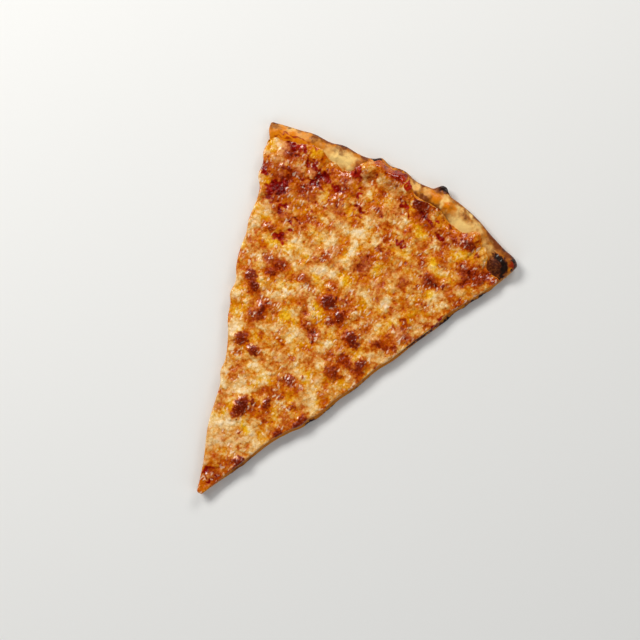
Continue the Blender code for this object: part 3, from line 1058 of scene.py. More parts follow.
@dataclass(frozen=True)
class CrustFinish:
    """Baked dough: golden, with pale, brown and burnt places and oily orange ones."""

    golden: tuple = srgb(190, 110, 8)
    pale: tuple = srgb(246, 204, 124)
    oily: tuple = srgb(214, 119, 1)
    brown: tuple = srgb(118, 54, 6)
    red: tuple = srgb(150, 36, 2)
    cut: tuple = srgb(190, 118, 28)
    crumb: tuple = srgb(228, 176, 92)
    under: tuple = srgb(176, 118, 56)
    scorched: tuple = srgb(84, 30, 8)
    flaked: tuple = srgb(146, 78, 34)
    char: tuple = srgb(32, 15, 8)
    # Heights of the wider and the finer relief, in mm
    relief: float = 0.25
    grain_height: float = 0.12
    rough: float = 0.55
    coat_rough: float = 0.15
    specular: float = 0.16

    def build(self, name: str) -> bpy.types.Material:
        """Makes the material."""
        made, bench = new_material(name)
        fine = bench.noise(0.8, 3.0)
        medium = bench.noise(2.6, 3.0)
        wide = bench.noise(8.0, 2.0)
        oily, char = bench.mask("oily"), bench.mask("char")
        colour = bench.mix(bench.frayed("pale", 0.7 * (medium - 0.45)), self.golden, self.pale)
        colour = bench.mix(bench.frayed("oily", 0.5 * (wide - 0.55)), colour, self.oily)
        crumb = bench.mix(bench.noise(1.7, 4.0, 0.65).step(0.38, 0.62), self.cut, self.crumb)
        colour = bench.mix(bench.mask("cut"), colour, crumb)
        colour = bench.mix(bench.mask("under"), colour, self.under)
        brown = bench.frayed("brown", 0.4 * (fine - 0.5) + 0.7 * (medium - 0.5), 0.08, 0.9)
        colour = bench.mix(brown, colour, self.brown)
        colour = bench.mix(bench.frayed("red", 0.3 * (medium - 0.5), 0.1, 0.9), colour, self.red)
        burnt = char + 0.3 * (fine - 0.5) + 0.3 * (medium - 0.5)
        scorched = bench.mix(0.8 * bench.noise(1.3, 2.0).step(0.5, 0.66), self.scorched, self.flaked)
        colour = bench.mix(burnt.step(0.05, 0.55), colour, scorched)
        char_share = burnt.step(0.4, 0.95)
        colour = bench.mix(char_share, colour, self.char)
        normal = bench.bump(medium, self.relief)
        surface(bench, colour, {
            "Roughness": self.rough - 0.25 * oily + 0.1 * char_share,
            "Coat Weight": 0.15 * oily + 0.3 * char,
            "Coat Roughness": self.coat_rough,
            "Specular IOR Level": self.specular,
            "Normal": bench.bump(fine * (1.0 + 3.0 * char), self.grain_height, normal),
        })
        return made


@dataclass(frozen=True)
class BubbleFinish:
    """Skin of the small bubbles on the toasted blisters."""

    dark: tuple = srgb(128, 44, 10)
    light: tuple = srgb(196, 96, 22)
    rough: float = 0.25
    coat: float = 0.7
    coat_rough: float = 0.1

    def build(self, name: str) -> bpy.types.Material:
        """Makes the material."""
        made, bench = new_material(name)
        share = bench.noise(2.0, 3.0)
        colour = bench.mix(share.step(0.4, 0.65), self.dark, self.light)
        surface(bench, colour, {
            "Roughness": self.rough + 0.1 * share,
            "Coat Weight": self.coat,
            "Coat Roughness": self.coat_rough,
        })
        return made


@dataclass(frozen=True)
class FloorFinish:
    """Plain pale floor."""

    colour: tuple = srgb(226, 226, 224)
    rough: float = 0.7

    def build(self, name: str) -> bpy.types.Material:
        """Makes the material."""
        made, bench = new_material(name)
        surface(bench, self.colour, {"Roughness": self.rough})
        return made


class NodeGroup:
    """A geometry node group with named inputs, applied once and left as a plain mesh."""

    def __init__(self, name: str, floats: Sequence[str]) -> None:
        """Makes the group's sockets.

        Args:
            name: Name of the group.
            floats: Names of the inputs that take a number, besides the geometry and the material.
        """
        self.tree = bpy.data.node_groups.new(name, "GeometryNodeTree")
        kinds = {"Geometry": "Geometry", **dict.fromkeys(floats, "Float"), "Material": "Material"}
        for label, kind in kinds.items():
            self.tree.interface.new_socket(label, in_out="INPUT", socket_type="NodeSocket" + kind)
        self.tree.interface.new_socket("Geometry", in_out="OUTPUT", socket_type="NodeSocketGeometry")
        self.bench = Bench(self.tree)
        self.entry = self.bench.node("NodeGroupInput")

    def given(self, name: str) -> Wire:
        """One of the group's inputs."""
        return Wire(self.bench, self.entry.outputs[name])

    def close(self, geometry: Wire) -> None:
        """Ends the group: instances made real and the given material set."""
        real = self.bench.wire("GeometryNodeRealizeInstances", None, {0: geometry})
        values = {"Geometry": real, "Material": self.given("Material")}
        painted = self.bench.wire("GeometryNodeSetMaterial", None, values)
        self.bench.node("NodeGroupOutput", None, {0: painted})

    def apply(self, made: bpy.types.Object, values: dict) -> bpy.types.Mesh:
        """Works the group on an object and gives the result as a mesh.

        Args:
            made: The object.
            values: A value for each input's name.

        Returns:
            The new mesh.
        """
        modifier = made.modifiers.new(self.tree.name, "NODES")
        modifier.node_group = self.tree
        for item in self.tree.interface.items_tree:
            if item.item_type == "SOCKET" and item.in_out == "INPUT" and item.name in values:
                modifier[item.identifier] = values[item.name]
        graph = bpy.context.evaluated_depsgraph_get()
        graph.update()
        mesh = bpy.data.meshes.new_from_object(
            made.evaluated_get(graph), preserve_all_data_layers=True, depsgraph=graph
        )
        made.modifiers.remove(modifier)
        return mesh


class GrainGroup(NodeGroup):
    """Raises fine grain along the normals and opens pores where the mesh says so."""

    def __init__(self) -> None:
        """Makes the nodes."""
        floats = ("Grain size", "Grain height", "Pore size", "Pore depth", "Seed")
        super().__init__("fine_grain", floats)
        bench = self.bench
        spot = {"Vector": bench.wire("GeometryNodeInputPosition"), "W": self.given("Seed")}
        values = {**spot, "Scale": 1.0 / self.given("Grain size"), "Detail": 2.0}
        grain = bench.wire("ShaderNodeTexNoise", {"noise_dimensions": "4D"}, values)
        values = {**spot, "Scale": 1.0 / self.given("Pore size")}
        pores = bench.wire("ShaderNodeTexVoronoi", {"voronoi_dimensions": "4D"}, values)
        raised = (grain - 0.5) * self.given("Grain height") * bench.stored("grainy")
        sunk = pores.step(0.5, 0.15) * self.given("Pore depth") * bench.stored("porous")
        normal = bench.wire("GeometryNodeInputNormal")
        shift = bench.vector("SCALE", {0: normal, "Scale": raised - sunk})
        values = {"Geometry": self.given("Geometry"), "Offset": shift}
        self.close(bench.wire("GeometryNodeSetPosition", None, values))


class ScatterGroup(NodeGroup):
    """Scatters small lumps over a surface, more where the mesh says so."""

    # Least and most of a lump's own unevenness on each axis, and the step between the two seeds
    NARROW, WIDE = 0.75, 1.3
    NEXT_SEED = 7

    def __init__(self, name: str, where: str, detail: int, seed: int) -> None:
        """Makes the nodes.

        Args:
            name: Name of the group.
            where: Name of the stored number that says how dense they are.
            detail: Subdivisions of a lump.
            seed: Choice of the places and sizes.
        """
        super().__init__(name, ("Density", "Least size", "Most size", "Flatness"))
        bench = self.bench
        density = bench.stored(where) * self.given("Density")
        values = {"Mesh": self.given("Geometry"), "Density": density, "Seed": seed}
        points = bench.node("GeometryNodeDistributePointsOnFaces", {"distribute_method": "RANDOM"}, values)
        lump = bench.wire("GeometryNodeMeshIcoSphere", None, {"Radius": 1.0, "Subdivisions": detail})
        values = {"Min": (self.NARROW,) * 3, "Max": (self.WIDE,) * 3, "Seed": seed}
        uneven = bench.wire("FunctionNodeRandomValue", {"data_type": "FLOAT_VECTOR"}, values, "Value")
        values = {2: self.given("Least size"), 3: self.given("Most size"), "Seed": seed + self.NEXT_SEED}
        size = bench.wire("FunctionNodeRandomValue", {"data_type": "FLOAT"}, values, 1)
        height = size * self.given("Flatness")
        flat = bench.wire("ShaderNodeCombineXYZ", None, {0: size, 1: size, 2: height})
        values = {
            "Points": Wire(bench, points.outputs["Points"]),
            "Instance": lump,
            "Rotation": Wire(bench, points.outputs["Rotation"]),
            "Scale": bench.vector("MULTIPLY", {0: flat, 1: uneven}),
        }
        self.close(bench.wire("GeometryNodeInstanceOnPoints", None, values))


def ovals(rows: Sequence[tuple]) -> list[Patch]:
    """Patches from rows: place, width, length, and turn and strength where these aren't 0 and 1."""
    return [Patch(*row) for row in rows]


class CheesePattern:
    """Where the cheese is cream, oily, toasted, blistered or thin over the sauce."""

    SAUCE = ovals([
        (-22, 91, 16, 14, 0, 0.5), (-20, 101, 9, 8, 0, 0.35), (-47, 62, 16, 11, 0, 0.35),
        (16, 62, 20, 9, 0, 0.25), (-53, 95.7, 10, 2.4, 10, 0.7), (-65, 89.5, 11, 6), (-61, 92, 4, 4),
        (-53.6, 87, 3, 9), (-39.6, 85.5, 9, 7), (-48, 88, 4, 4), (-25, 97, 8, 7), (-30.6, 83, 9, 4),
        (-46, 78.5, 9, 2), (-39, 78.5, 6, 2), (-61, 66, 10, 10), (-64, 61, 8, 5), (-57, 69, 5, 7),
        (-61, 57, 6, 6), (-52, 56, 4, 6), (-73, 69, 4, 6), (-19, 91, 3, 3), (-17, 88, 5, 2, 40),
        (-11, 79, 6, 5), (-3, 109, 10, 9, 0, 0.8), (5, 108, 10, 2.5, -45), (11, 96.5, 11, 3, -40),
        (22, 97.5, 9, 3), (28, 96, 5, 5), (37, 92, 6, 5), (20, 76, 4, 4), (-42, 51, 6, 3),
        (-43, 40, 7, 6), (66, 50, 4, 5), (63, 46, 3, 4), (-5, -99, 5, 5), (-3, -102, 3, 4),
        (-1, -105, 3, 3), (-8, -88, 6, 6, 0, 0.2), (3, -101, 3, 3), (-54, 78, 16, 10, 0, 0.45),
        (-70, 78, 10, 8, 0, 0.4), (70, 84, 10, 6, 0, 0.5), (-56, 76, 48, 32, 0, 0.30),
        (-50, 56, 30, 20, 0, 0.24), (-22, 84, 24, 20, 0, 0.2), (40, 94, 60, 10, 0, 0.25),
        (-2, -98, 20, 24, 0, 0.3), (-5, 104, 24, 12, 0, 0.28),
    ])
    BLISTERS = ovals([
        (10.5, -88, 4, 11, -20, 0.8), (71, 83, 6, 11, -20, 0.55), (16.5, 104.6, 8, 2.2, 12, 0.9),
        (17.5, 102.4, 6, 1.8, 0, 0.9), (-62, 77, 8, 2.5, 8, 0.8), (16.4, 102, 11, 6, 5),
        (27.5, 105.5, 7, 4, 0, 0.8), (55.5, 97.5, 7, 7, 0, 0.8), (40, 100, 4, 4, 0, 0.7),
        (62, 95, 3, 3, 0, 0.7), (11, 67, 5, 5, 0, 0.6), (45, 68, 9, 7, 0, 0.45), (55, 68, 2, 2),
        (-51, 42, 6, 5, 0, 0.55), (-34, 27, 5, 5, 0, 0.5), (-40, 26, 4, 4, 0, 0.5),
        (-36, 20, 4, 4, 0, 0.6), (-45, 12, 8, 7, 20, 0.8), (-40, 8, 8, 5, -40, 0.9),
        (-29, -1, 9, 3, -58, 0.8), (-28, -6, 5, 5, 0, 0.7), (-33, -7, 4, 3, 0, 0.6),
        (-36, -1, 4, 4, 0, 0.5), (-16, 28, 8, 7, 0, 0.5), (-2, 44, 4, 4, 0, 0.5),
        (-15, 46, 7, 5, 0, 0.35), (3, 24, 9, 8, 0, 0.95), (13, 20, 7, 7, 0, 0.8),
        (10, 14, 6, 6, 0, 0.6), (9, 28, 5, 4, 0, 0.5), (27, 12, 11, 6, -25, 0.9),
        (41, 18.5, 8, 4, 10, 0.65), (45, 19, 4, 4, 0, 0.7), (39, 2, 5, 10, 0, 0.75),
        (33, -2, 4, 4, 0, 0.6), (42, -1, 4, 4, 0, 0.6), (26, -11, 10, 8, 0, 0.75),
        (33, -10, 4, 2, 0, 0.6), (40, 57, 4, 4, 0, 0.3), (48, 38, 8, 3, -15, 0.6),
        (52, 30, 3, 3, 0, 0.6), (43, 32, 3, 3, 0, 0.6), (43, 26, 3, 3, 0, 0.6), (51, 22, 3, 3, 0, 0.6),
        (-1, 4, 4, 4, 0, 0.5), (-30, -23, 8, 8, 0, 0.85), (-20, -25, 7, 7, 0, 0.9),
        (-28, -31, 6, 5, 0, 0.4), (-7.9, -57.5, 7, 15, 4, 1.1), (-4, -51, 7, 3, 12, 0.9),
        (4, -47, 4, 7, 20, 0.85), (9, -57, 4, 4, 0, 0.5), (6, -56, 4, 3, 0, 0.4),
        (18, -41, 4, 5, 0, 0.65), (9, -40, 3, 3, 0, 0.6), (27, -46, 5, 12, -12, 0.9),
        (20, -59, 6, 6, 0, 0.85), (8, -29, 6, 6, 0, 0.6), (3, -31, 4, 4, 0, 0.5),
        (14, -22.5, 3, 2, 0, 0.7), (3, -17, 2.4, 2.4, 0, 0.8), (-21, -14, 4, 4, 0, 0.5),
        (-8, -12, 4, 2, 0, 0.6), (9.6, -85.5, 8, 5.5, 25), (0, -115.6, 4, 2, 0, 0.8),
        (4, -88, 5, 5, 0, 0.5), (2, -93, 3, 3, 0, 0.5), (5, -78, 4, 3, 0, 0.5),
        (-6, -79.5, 3, 3, 0, 0.5), (0, -71.7, 1.8, 1.8), (-3, -71, 6, 5, 0, 0.25),
    ])
    TOASTED = ovals([
        (70, 90, 12, 16), (-30, 72, 12, 10), (52, 32, 10, 11, 0, 0.8), (-20, -28, 9, 9, 0, 0.6),
        (10, 2.5, 13, 10, 0, 0.8), (43, 51, 20, 11, 0, 0.9), (-45, 62, 24, 11), (16, 62, 24, 11),
        (-10, 82.5, 11, 10, 0, 0.7), (20, 92.5, 12, 10, 0, 0.9), (30, 102, 15, 8, 0, 0.9),
        (6, -48, 14, 8, 0, 0.7), (-52, 75, 52, 40, 0, 0.8), (-5, 85, 40, 30, 0, 0.35),
        (-48, 18, 22, 18, 0, 0.35), (55, 78, 44, 34, 0, 0.35), (12, 55, 22, 26, 0, 0.35),
        (10, 20, 40, 26, -10, 0.45), (-35, 10, 30, 36, 0, 0.35), (34, 2, 26, 26, 0, 0.35),
        (45, 38, 26, 26, 0, 0.3), (-28, -26, 18, 18, 0, 0.1), (8, -30, 20, 10, 0, 0.3),
        (6, -52, 26, 20, 0, 0.35), (-42, 42, 22, 26, 0, 0.4), (-3, -95, 22, 24, 0, 0.45),
        (40, 95, 60, 14, 0, 0.45), (-5, 104, 24, 14, 0, 0.4), (18, 99, 26, 12, 0, 0.7),
        (-51.6, 94, 16, 10, 10, 0.9), (-22, 104.5, 10, 11), (-9, 109, 22, 9, 5, 0.5), (-27, 88, 18, 22),
        (-25.5, 75, 22, 12, 0, 0.7), (65, 84, 18, 28, 0, 0.9), (28, 95, 18, 20, 0, 0.6),
    ])
    CREAMY = ovals([
        (30, 52, 8, 9, 0, 0.7), (-30, -8, 8, 8, 0, 0.6), (-19, -47, 8, 10, 0, 0.5),
        (-11, -91, 6, 8, 20, 0.8), (-10, -88, 8, 10, 0, 0.9), (-20.5, -54, 8, 20, 20, 0.8),
        (-59.6, 52.5, 7, 13, 20, 0.9), (40.4, 63, 10, 8, 0, 0.9), (30, 72.5, 11, 8, 0, 0.8),
        (-61, 81.5, 14, 9), (0.4, 82.5, 10, 8, 0, 0.8), (0, 102, 11, 7, 0, 0.8),
        (-20, 42, 9, 9, 0, 0.6), (-30, -15, 9, 14, 20, 0.6), (-40, 2, 6, 9, 20, 0.6),
        (-62, 77.5, 10, 8, 0, 0.7), (-65, 85, 14, 8, 0, 0.5), (9.5, 100.5, 12, 7, 0, 0.6),
        (-12, 100, 12, 6, 0, 0.5), (58.6, 68.3, 12, 8, 0, 0.4), (-26, 93, 5, 5), (-18, 96, 7, 6),
        (-13, 90, 6, 5), (-10, 102.5, 8, 7, 0, 0.7), (3, 98, 5, 10), (7, 71, 7, 6), (-5, 66, 9, 8),
        (43, 93, 6, 4), (39, 86, 6, 6), (50, 92, 5, 4), (-20, 55, 16, 14, 0, 0.3),
        (0, 52, 8, 14, 0, 0.7), (-30, 33, 9, 9), (-33, 43, 8, 7), (-13, 37, 18, 9, 20, 0.8),
        (-17, 20, 7, 7), (-27, 9, 7, 7), (42, 11, 9, 8), (31, 41, 9, 8), (46, 29, 12, 10, 0, 0.2),
        (55, 40, 8, 7), (58, 58, 9, 8), (47, 4, 7, 7), (-13, -47, 16, 8), (-9, -29, 11, 9),
        (-3, -20, 9, 8), (-28, -44, 8, 8), (-8, -75, 18, 16, 0, 0.7), (8, -72, 12, 8, 0, 0.6),
        (-12, -84, 8, 8, 0, 0.6), (-60, 68, 3, 3), (-56, 65, 4, 3), (-24, 68, 20, 16, 0, 0.6),
        (14, 84, 18, 8, 0, 0.5), (0, -2, 14, 10, 0, 0.4), (20, -24, 12, 10, 0, 0.4),
        (24, -32, 10, 12, 0, 0.5), (-47, 30, 8, 8, 0, 0.6), (-60, 40, 6, 20, 20, 0.7),
        (-50, -2, 5, 16, 20, 0.5), (28, 34, 12, 10, 0, 0.4), (-12, -84, 6, 30, 21, 0.8),
        (-24, -54, 5, 30, 21, 0.6), (-36, -24, 4, 30, 21, 0.5), (-5, -74, 30, 22),
        (12, -67, 16, 12, 0, 0.9), (-2, -113, 8, 8, 0, 0.5), (-66, 84, 17, 7, 0, 0.9),
        (-57, 81, 6, 5, 0, 0.8), (-70, 78, 6, 5, 0, 0.7), (-47, 84, 5, 5, 0, 0.8),
    ])
    PINK = ovals([
        (-67, 82, 20, 6), (-72, 87, 6, 4), (-57, 81, 6, 4), (-62, 72, 5, 4), (-75, 77, 5, 5),
        (-47, 84, 6, 6), (-40, 91, 8, 5), (-12, 51, 6, 11, -30), (46, 29, 14, 12, 0, 0.8),
        (47, 85, 7, 6), (-17, 20, 7, 7, 0, 0.5), (20, 50, 14, 14, 0, 0.4), (15, -20, 16, 16, 0, 0.4),
        (-5, -80, 14, 10, 0, 0.4),
    ])
    OILY = ovals([
        (-22, 36, 6, 6), (45, 81, 10, 9), (3, -67, 7, 5), (11, -65, 7, 6), (17, -66, 5, 5),
        (-12, 1, 9, 7), (30, -28, 11, 9, 0, 0.8), (22, 86, 11, 9, 0, 0.7), (30, 72, 8, 6, 0, 0.6),
        (-30, 62, 8, 10, 0, 0.5), (-20, -6, 12, 9, 0, 0.6), (5, 8, 12, 6, 0, 0.5), (-2, -110, 8, 8),
        (-16, -62, 6, 12, 15, 0.6), (-70, 52, 4, 26, 20, 0.6), (-44, -14, 4, 22, 20, 0.6),
        (-27, -60, 4, 18, 20, 0.7),
    ])

    def __init__(self, chart: Chart) -> None:
        """Draws the masks and the relief on the chart."""
        self.sauce = chart.draw(self.SAUCE, ragged=1.2, soft=0.5, seed=101, size=5.0)
        burn = chart.draw(self.BLISTERS, ragged=0.6, soft=0.5, seed=111, size=2.6)
        toasted = chart.draw(self.TOASTED, ragged=3.0, soft=0.6, seed=121, size=9.0)
        creamy = chart.draw(self.CREAMY, ragged=1.2, soft=0.6, seed=131, size=4.0)
        oily = chart.draw(self.OILY, ragged=1.0, soft=0.5, seed=141, size=4.0)
        halo = chart.blur(burn, 2.2)
        pink = chart.draw(self.PINK, ragged=1.2, soft=0.6, seed=151, size=4.0)
        self.pink = np.clip(0.9 * pink + 0.22 * chart.grain(7.0, 153) - 0.1, 0, 1)
        tiny = chart.grain(1.8, 160, 1.7)
        lumps = chart.grain(3.4, 161, 1.2)
        wide = chart.grain(6.5, 163)
        broad = chart.grain(13.0, 166)
        spots = chart.grain(2.8, 164, 1.1)
        speckled = np.clip(0.4 + 1.3 * toasted - 0.5 * creamy, 0, 1)
        specks = ease(0.8, 2.3, spots) * speckled * (1.0 - 0.8 * burn)
        light = 0.015 * lumps + 0.03 * wide + 0.09 * broad + 0.045 * chart.grain(24.0, 169)
        self.tone = np.clip(
            0.56
            + light * (1.0 - 0.75 * burn)
            + 0.13 * creamy
            + 0.04 * oily
            - 0.17 * toasted
            - 0.22 * specks
            - 0.08 * halo
            - 0.31 * burn,
            0.0,
            1.0,
        )
        curd = 0.45 + 0.09 * chart.grain(6.5, 167) + 0.08 * wide + 0.19 * chart.grain(13.0, 168)
        curd = curd + 0.5 * creamy - 0.5 * oily - 0.25 * toasted - 0.6 * halo - 0.5 * self.sauce
        self.curd = np.clip(curd, -0.3, 1.3)
        self.burn = ease(0.15, 1.0, burn)
        shine = 0.25 + 0.9 * toasted + 0.8 * burn + 0.5 * self.sauce - 0.3 * creamy + 0.25 * wide
        self.shine = np.clip(shine, 0, 1)
        bubbly = chart.grain(1.8, 171)
        self.relief = (
            0.05 * lumps
            + 0.12 * wide
            + 0.03 * tiny
            + 0.50 * chart.blur(np.clip(burn, 0, 1), 0.8)
            + 0.08 * bubbly * np.clip(burn, 0, 1)
            - 0.34 * chart.blur(self.sauce, 0.8)
        )


class CrustPattern:
    """Where the crust is pale, oily, browned, red or burnt."""

    PALE = ovals([
        (-67, 95.5, 16, 5, 14, 0.6), (-37.5, 99.5, 21, 9, 8), (-70, 98, 26, 8, 14, 0.6),
        (7.6, 110.5, 7, 9, 0, 0.5), (16, 111, 4, 6, 0, 0.4), (28, 111, 5, 9, 0, 0.9),
        (43.5, 104.5, 18, 9), (53, 108, 10, 8, -10, 0.7), (37.5, 111, 5, 8, 0, 0.8),
        (64, 103, 11, 7, -10, 0.5), (45, 113.5, 14, 3, -5, 0.7),
    ])
    OILY = ovals([
        (-70, 93, 34, 12, 14), (-57, 97, 10, 8, 10, 0.6), (33, 109.5, 7, 8), (55.4, 102, 9, 10, 0, 0.9),
        (22, 111, 9, 10, 0, 0.8), (20, 102, 22, 6, 0, 0.8), (40, 99, 30, 5, 5, 0.6),
        (70, 92, 10, 10, 0, 0.9), (-14, 107, 20, 10, 0, 0.8), (1, -113, 14, 8, 0, 0.8),
        (-2, -107, 14, 8, 0, 0.9), (-25, 102, 8, 10, 0, 0.7),
    ])
    BROWN = ovals([
        (-40, 103, 14, 5, 14, 0.6), (-48.4, 101.5, 12, 3, 14, 0.35), (-27, 104, 8, 10, 0, 0.5),
        (31, 103, 12, 8, 0, 0.8), (12, -88, 5, 14, -20, 0.8), (45, 111.5, 10, 6, -5, 0.62),
        (70, 107, 26, 9, -12, 0.75), (64, 102.5, 10, 6, -12, 0.35), (-51, 99.5, 6, 6, 0, 0.3),
        (66.4, 109.5, 7, 4, -12, 0.8), (33, 113.5, 4, 2.5, 0, 0.6), (16.4, 105, 11, 7),
        (27, 106, 7, 4, 0, 0.8), (-57, 101.5, 8, 5, 10, 0.62), (-41, 106.5, 14, 3, 14, 0.7),
        (-24, 104, 9, 12, 20, 0.6), (22, 117, 8, 6, 0, 0.9), (24, 119.5, 9, 8),
        (83.4, 103.5, 8, 8, -15, 0.9), (74.4, 94.9, 13, 12), (-82, 94.5, 10, 3, 20, 0.6),
        (12, 112, 3, 8, 0, 0.45), (80, 94, 4, 14, -20, 0.5), (78, 104, 12, 6, -12, 0.5),
        (0, -116, 6, 3, 0, 0.5),
    ])
    RED = ovals([
        (-68, 95.5, 20, 1.0, 12, 0.9), (-62, 93, 16, 0.9, 10, 0.8), (-74, 91.5, 12, 0.9, 16, 0.8),
        (-55, 93.5, 9, 3, 0, 0.6), (83.5, 102.5, 6, 6, -15, 0.9), (-27, 101, 4, 7, 0, 0.6),
        (74.4, 94, 11, 10, 0, 0.5), (28, 101, 30, 4, 0, 0.5), (24, 103, 10, 3, 20, 0.6),
        (68, 91, 10, 6, 0, 0.5), (55, 100, 8, 4, 0, 0.5),
    ])
    CHAR = ovals([
        (-81, 98, 13, 2.2, 22, 0.8), (-87, 95, 4, 3), (-56.5, 104.4, 6, 2.0, 12),
        (-41, 107.5, 12, 2.4, 14), (-20, 111, 6, 4, 25), (24.4, 119, 8, 6), (21.5, 117, 3, 4, 0, 0.7),
        (83.5, 105.5, 8, 5, -15), (86.5, 101, 4, 7, -20, 0.9), (74.5, 100.3, 10, 4, -8),
        (79.3, 97, 4.5, 9, 25), (80.6, 93, 3, 5), (74.4, 94.9, 12, 11, 0, 0.62),
        (77, 92.5, 3, 3, 0, 0.7), (69, 55, 2.6, 15, -20), (71.5, 60, 2.4, 5, -20),
        (78, 77, 2.4, 5, -20), (76, 71, 2.6, 4, -20), (74, 66, 3, 5, -20), (39, -29.5, 3, 10, -20),
        (33, -43.5, 3, 8, -20), (60, 35, 1.6, 30, -21, 0.7), (48, -3, 1.4, 30, -21, 0.6),
        (12, -93, 2.4, 5, -20), (9, -101, 2, 4, -20), (24, -62, 1.4, 16, -21, 0.5), (-4, -116, 3, 2),
        (2.5, -116, 3, 2),
    ])
    # Soft brown spots of the underside: number, reach from the pie's middle and width in mm, and
    # the widest angle in radians
    UNDER_SPOTS = 46
    SPOT_REACH = 225.0
    SPOT_WIDTH = (4.0, 14.0)
    SPOT_ANGLE = 0.36

    def __init__(self, chart: Chart) -> None:
        """Draws the masks and the relief on the chart."""
        self.pale = chart.draw(self.PALE, ragged=1.0, soft=0.9, seed=201, size=5.0)
        self.oily = chart.draw(self.OILY, ragged=1.2, soft=0.9, seed=211, size=5.0)
        brown = chart.draw(self.BROWN, ragged=0.8, soft=0.9, seed=221, size=4.0)
        self.red = chart.draw(self.RED, ragged=0.5, soft=0.7, seed=231, size=4.0)
        self.char = chart.draw(self.CHAR, ragged=0.4, soft=0.5, seed=241, size=2.4)
        stray = 0.07 * chart.grain(3.0, 251) + 0.12 * chart.grain(9.0, 252)
        self.brown = np.clip(brown + stray * (1.0 - 0.8 * self.pale), 0, 1)
        source = np.random.default_rng(261)
        spots = []
        for _ in range(self.UNDER_SPOTS):
            far = self.SPOT_REACH * math.sqrt(source.uniform(0.01, 1.0))
            angle = source.uniform(-self.SPOT_ANGLE, self.SPOT_ANGLE)
            x, y = polar_xy(far, angle) - CHART_ZERO
            wide, tall = source.uniform(*self.SPOT_WIDTH, 2)
            spots.append(Patch(x, y, wide, tall, source.uniform(0, 180), source.uniform(0.5, 1.0)))
        self.under = chart.draw(spots, ragged=2.0, soft=0.6, seed=271, size=6.0)
        puffed = np.clip(self.pale + 0.5 * self.oily, 0, 1)
        self.relief = (
            0.10 * chart.grain(4.0, 281) * (1.0 - 0.5 * puffed)
            + 0.05 * chart.grain(1.6, 282)
            + 0.14 * chart.grain(7.0, 283)
            - 0.10 * self.red
            - 0.16 * ease(0.4, 1.0, self.char) * ease(-0.5, 1.0, chart.grain(1.8, 284))
        )


@dataclass(frozen=True)
class LayerSizes:
    """Numbers of a layer's fine mesh, in mm."""

    insets: Insets
    top: Weave
    floor: Weave
    levels: int
    smooth: float
    grain: float
    grain_height: float
    pore: float
    pore_depth: float
    seed: float


class Layer:
    """A layer of the slice, made again from its solid."""

    node = ""

    def __init__(self, chart: Chart, sizes: LayerSizes, grain: GrainGroup) -> None:
        """Keeps what the layer is made with.

        Args:
            chart: Grid of the patterns.
            sizes: Numbers of the mesh.
            grain: Nodes that add the fine grain.
        """
        self.chart = chart
        self.sizes = sizes
        self.grain = grain

    def shape(self) -> bpy.types.Object:
        """Makes the plain fine mesh."""
        sizes = self.sizes
        self.form = LayerMesh(self.node, sizes.insets, self.chart)
        return self.form.build(sizes.top, sizes.floor, sizes.levels, sizes.smooth)

    def rim_depth(self, x: np.ndarray, y: np.ndarray) -> np.ndarray:
        """Distance of places from the layer's outer edge, in mm."""
        away_x, away_y = x - PIE_CENTRE[0], y - PIE_CENTRE[1]
        return self.form.foot.rim(np.arctan2(away_x, away_y)) - np.hypot(away_x, away_y)

    def readings(
        self, pattern: CheesePattern | CrustPattern, names: Sequence[str], x: np.ndarray, y: np.ndarray
    ) -> dict[str, np.ndarray]:
        """Values of a pattern's masks at some places, by the masks' names."""
        return {name: self.chart.read(getattr(pattern, name), x, y) for name in names}

    def mark(self, made: bpy.types.Object, marks: dict[str, np.ndarray]) -> None:
        """Stores masks on a layer that has grain everywhere and no pores."""
        count = len(made.data.vertices)
        attach(made, {**marks, "grainy": np.ones(count), "porous": np.zeros(count)})

    def finish(self, made: bpy.types.Object, material: bpy.types.Material) -> bpy.types.Object:
        """Adds the grain and the material, and gives the piece its place in the part."""
        sizes = self.sizes
        values = {
            "Grain size": sizes.grain * MM,
            "Grain height": sizes.grain_height * MM,
            "Pore size": sizes.pore * MM,
            "Pore depth": sizes.pore_depth * MM,
            "Seed": sizes.seed,
            "Material": material,
        }
        mesh = self.grain.apply(made, values)
        old = made.data
        made.data = mesh
        bpy.data.meshes.remove(old)
        mesh.name = made.name
        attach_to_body(made, "root")
        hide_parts(self.node)
        LOG.info("%s: %d faces", made.name, len(mesh.polygons))
        return made


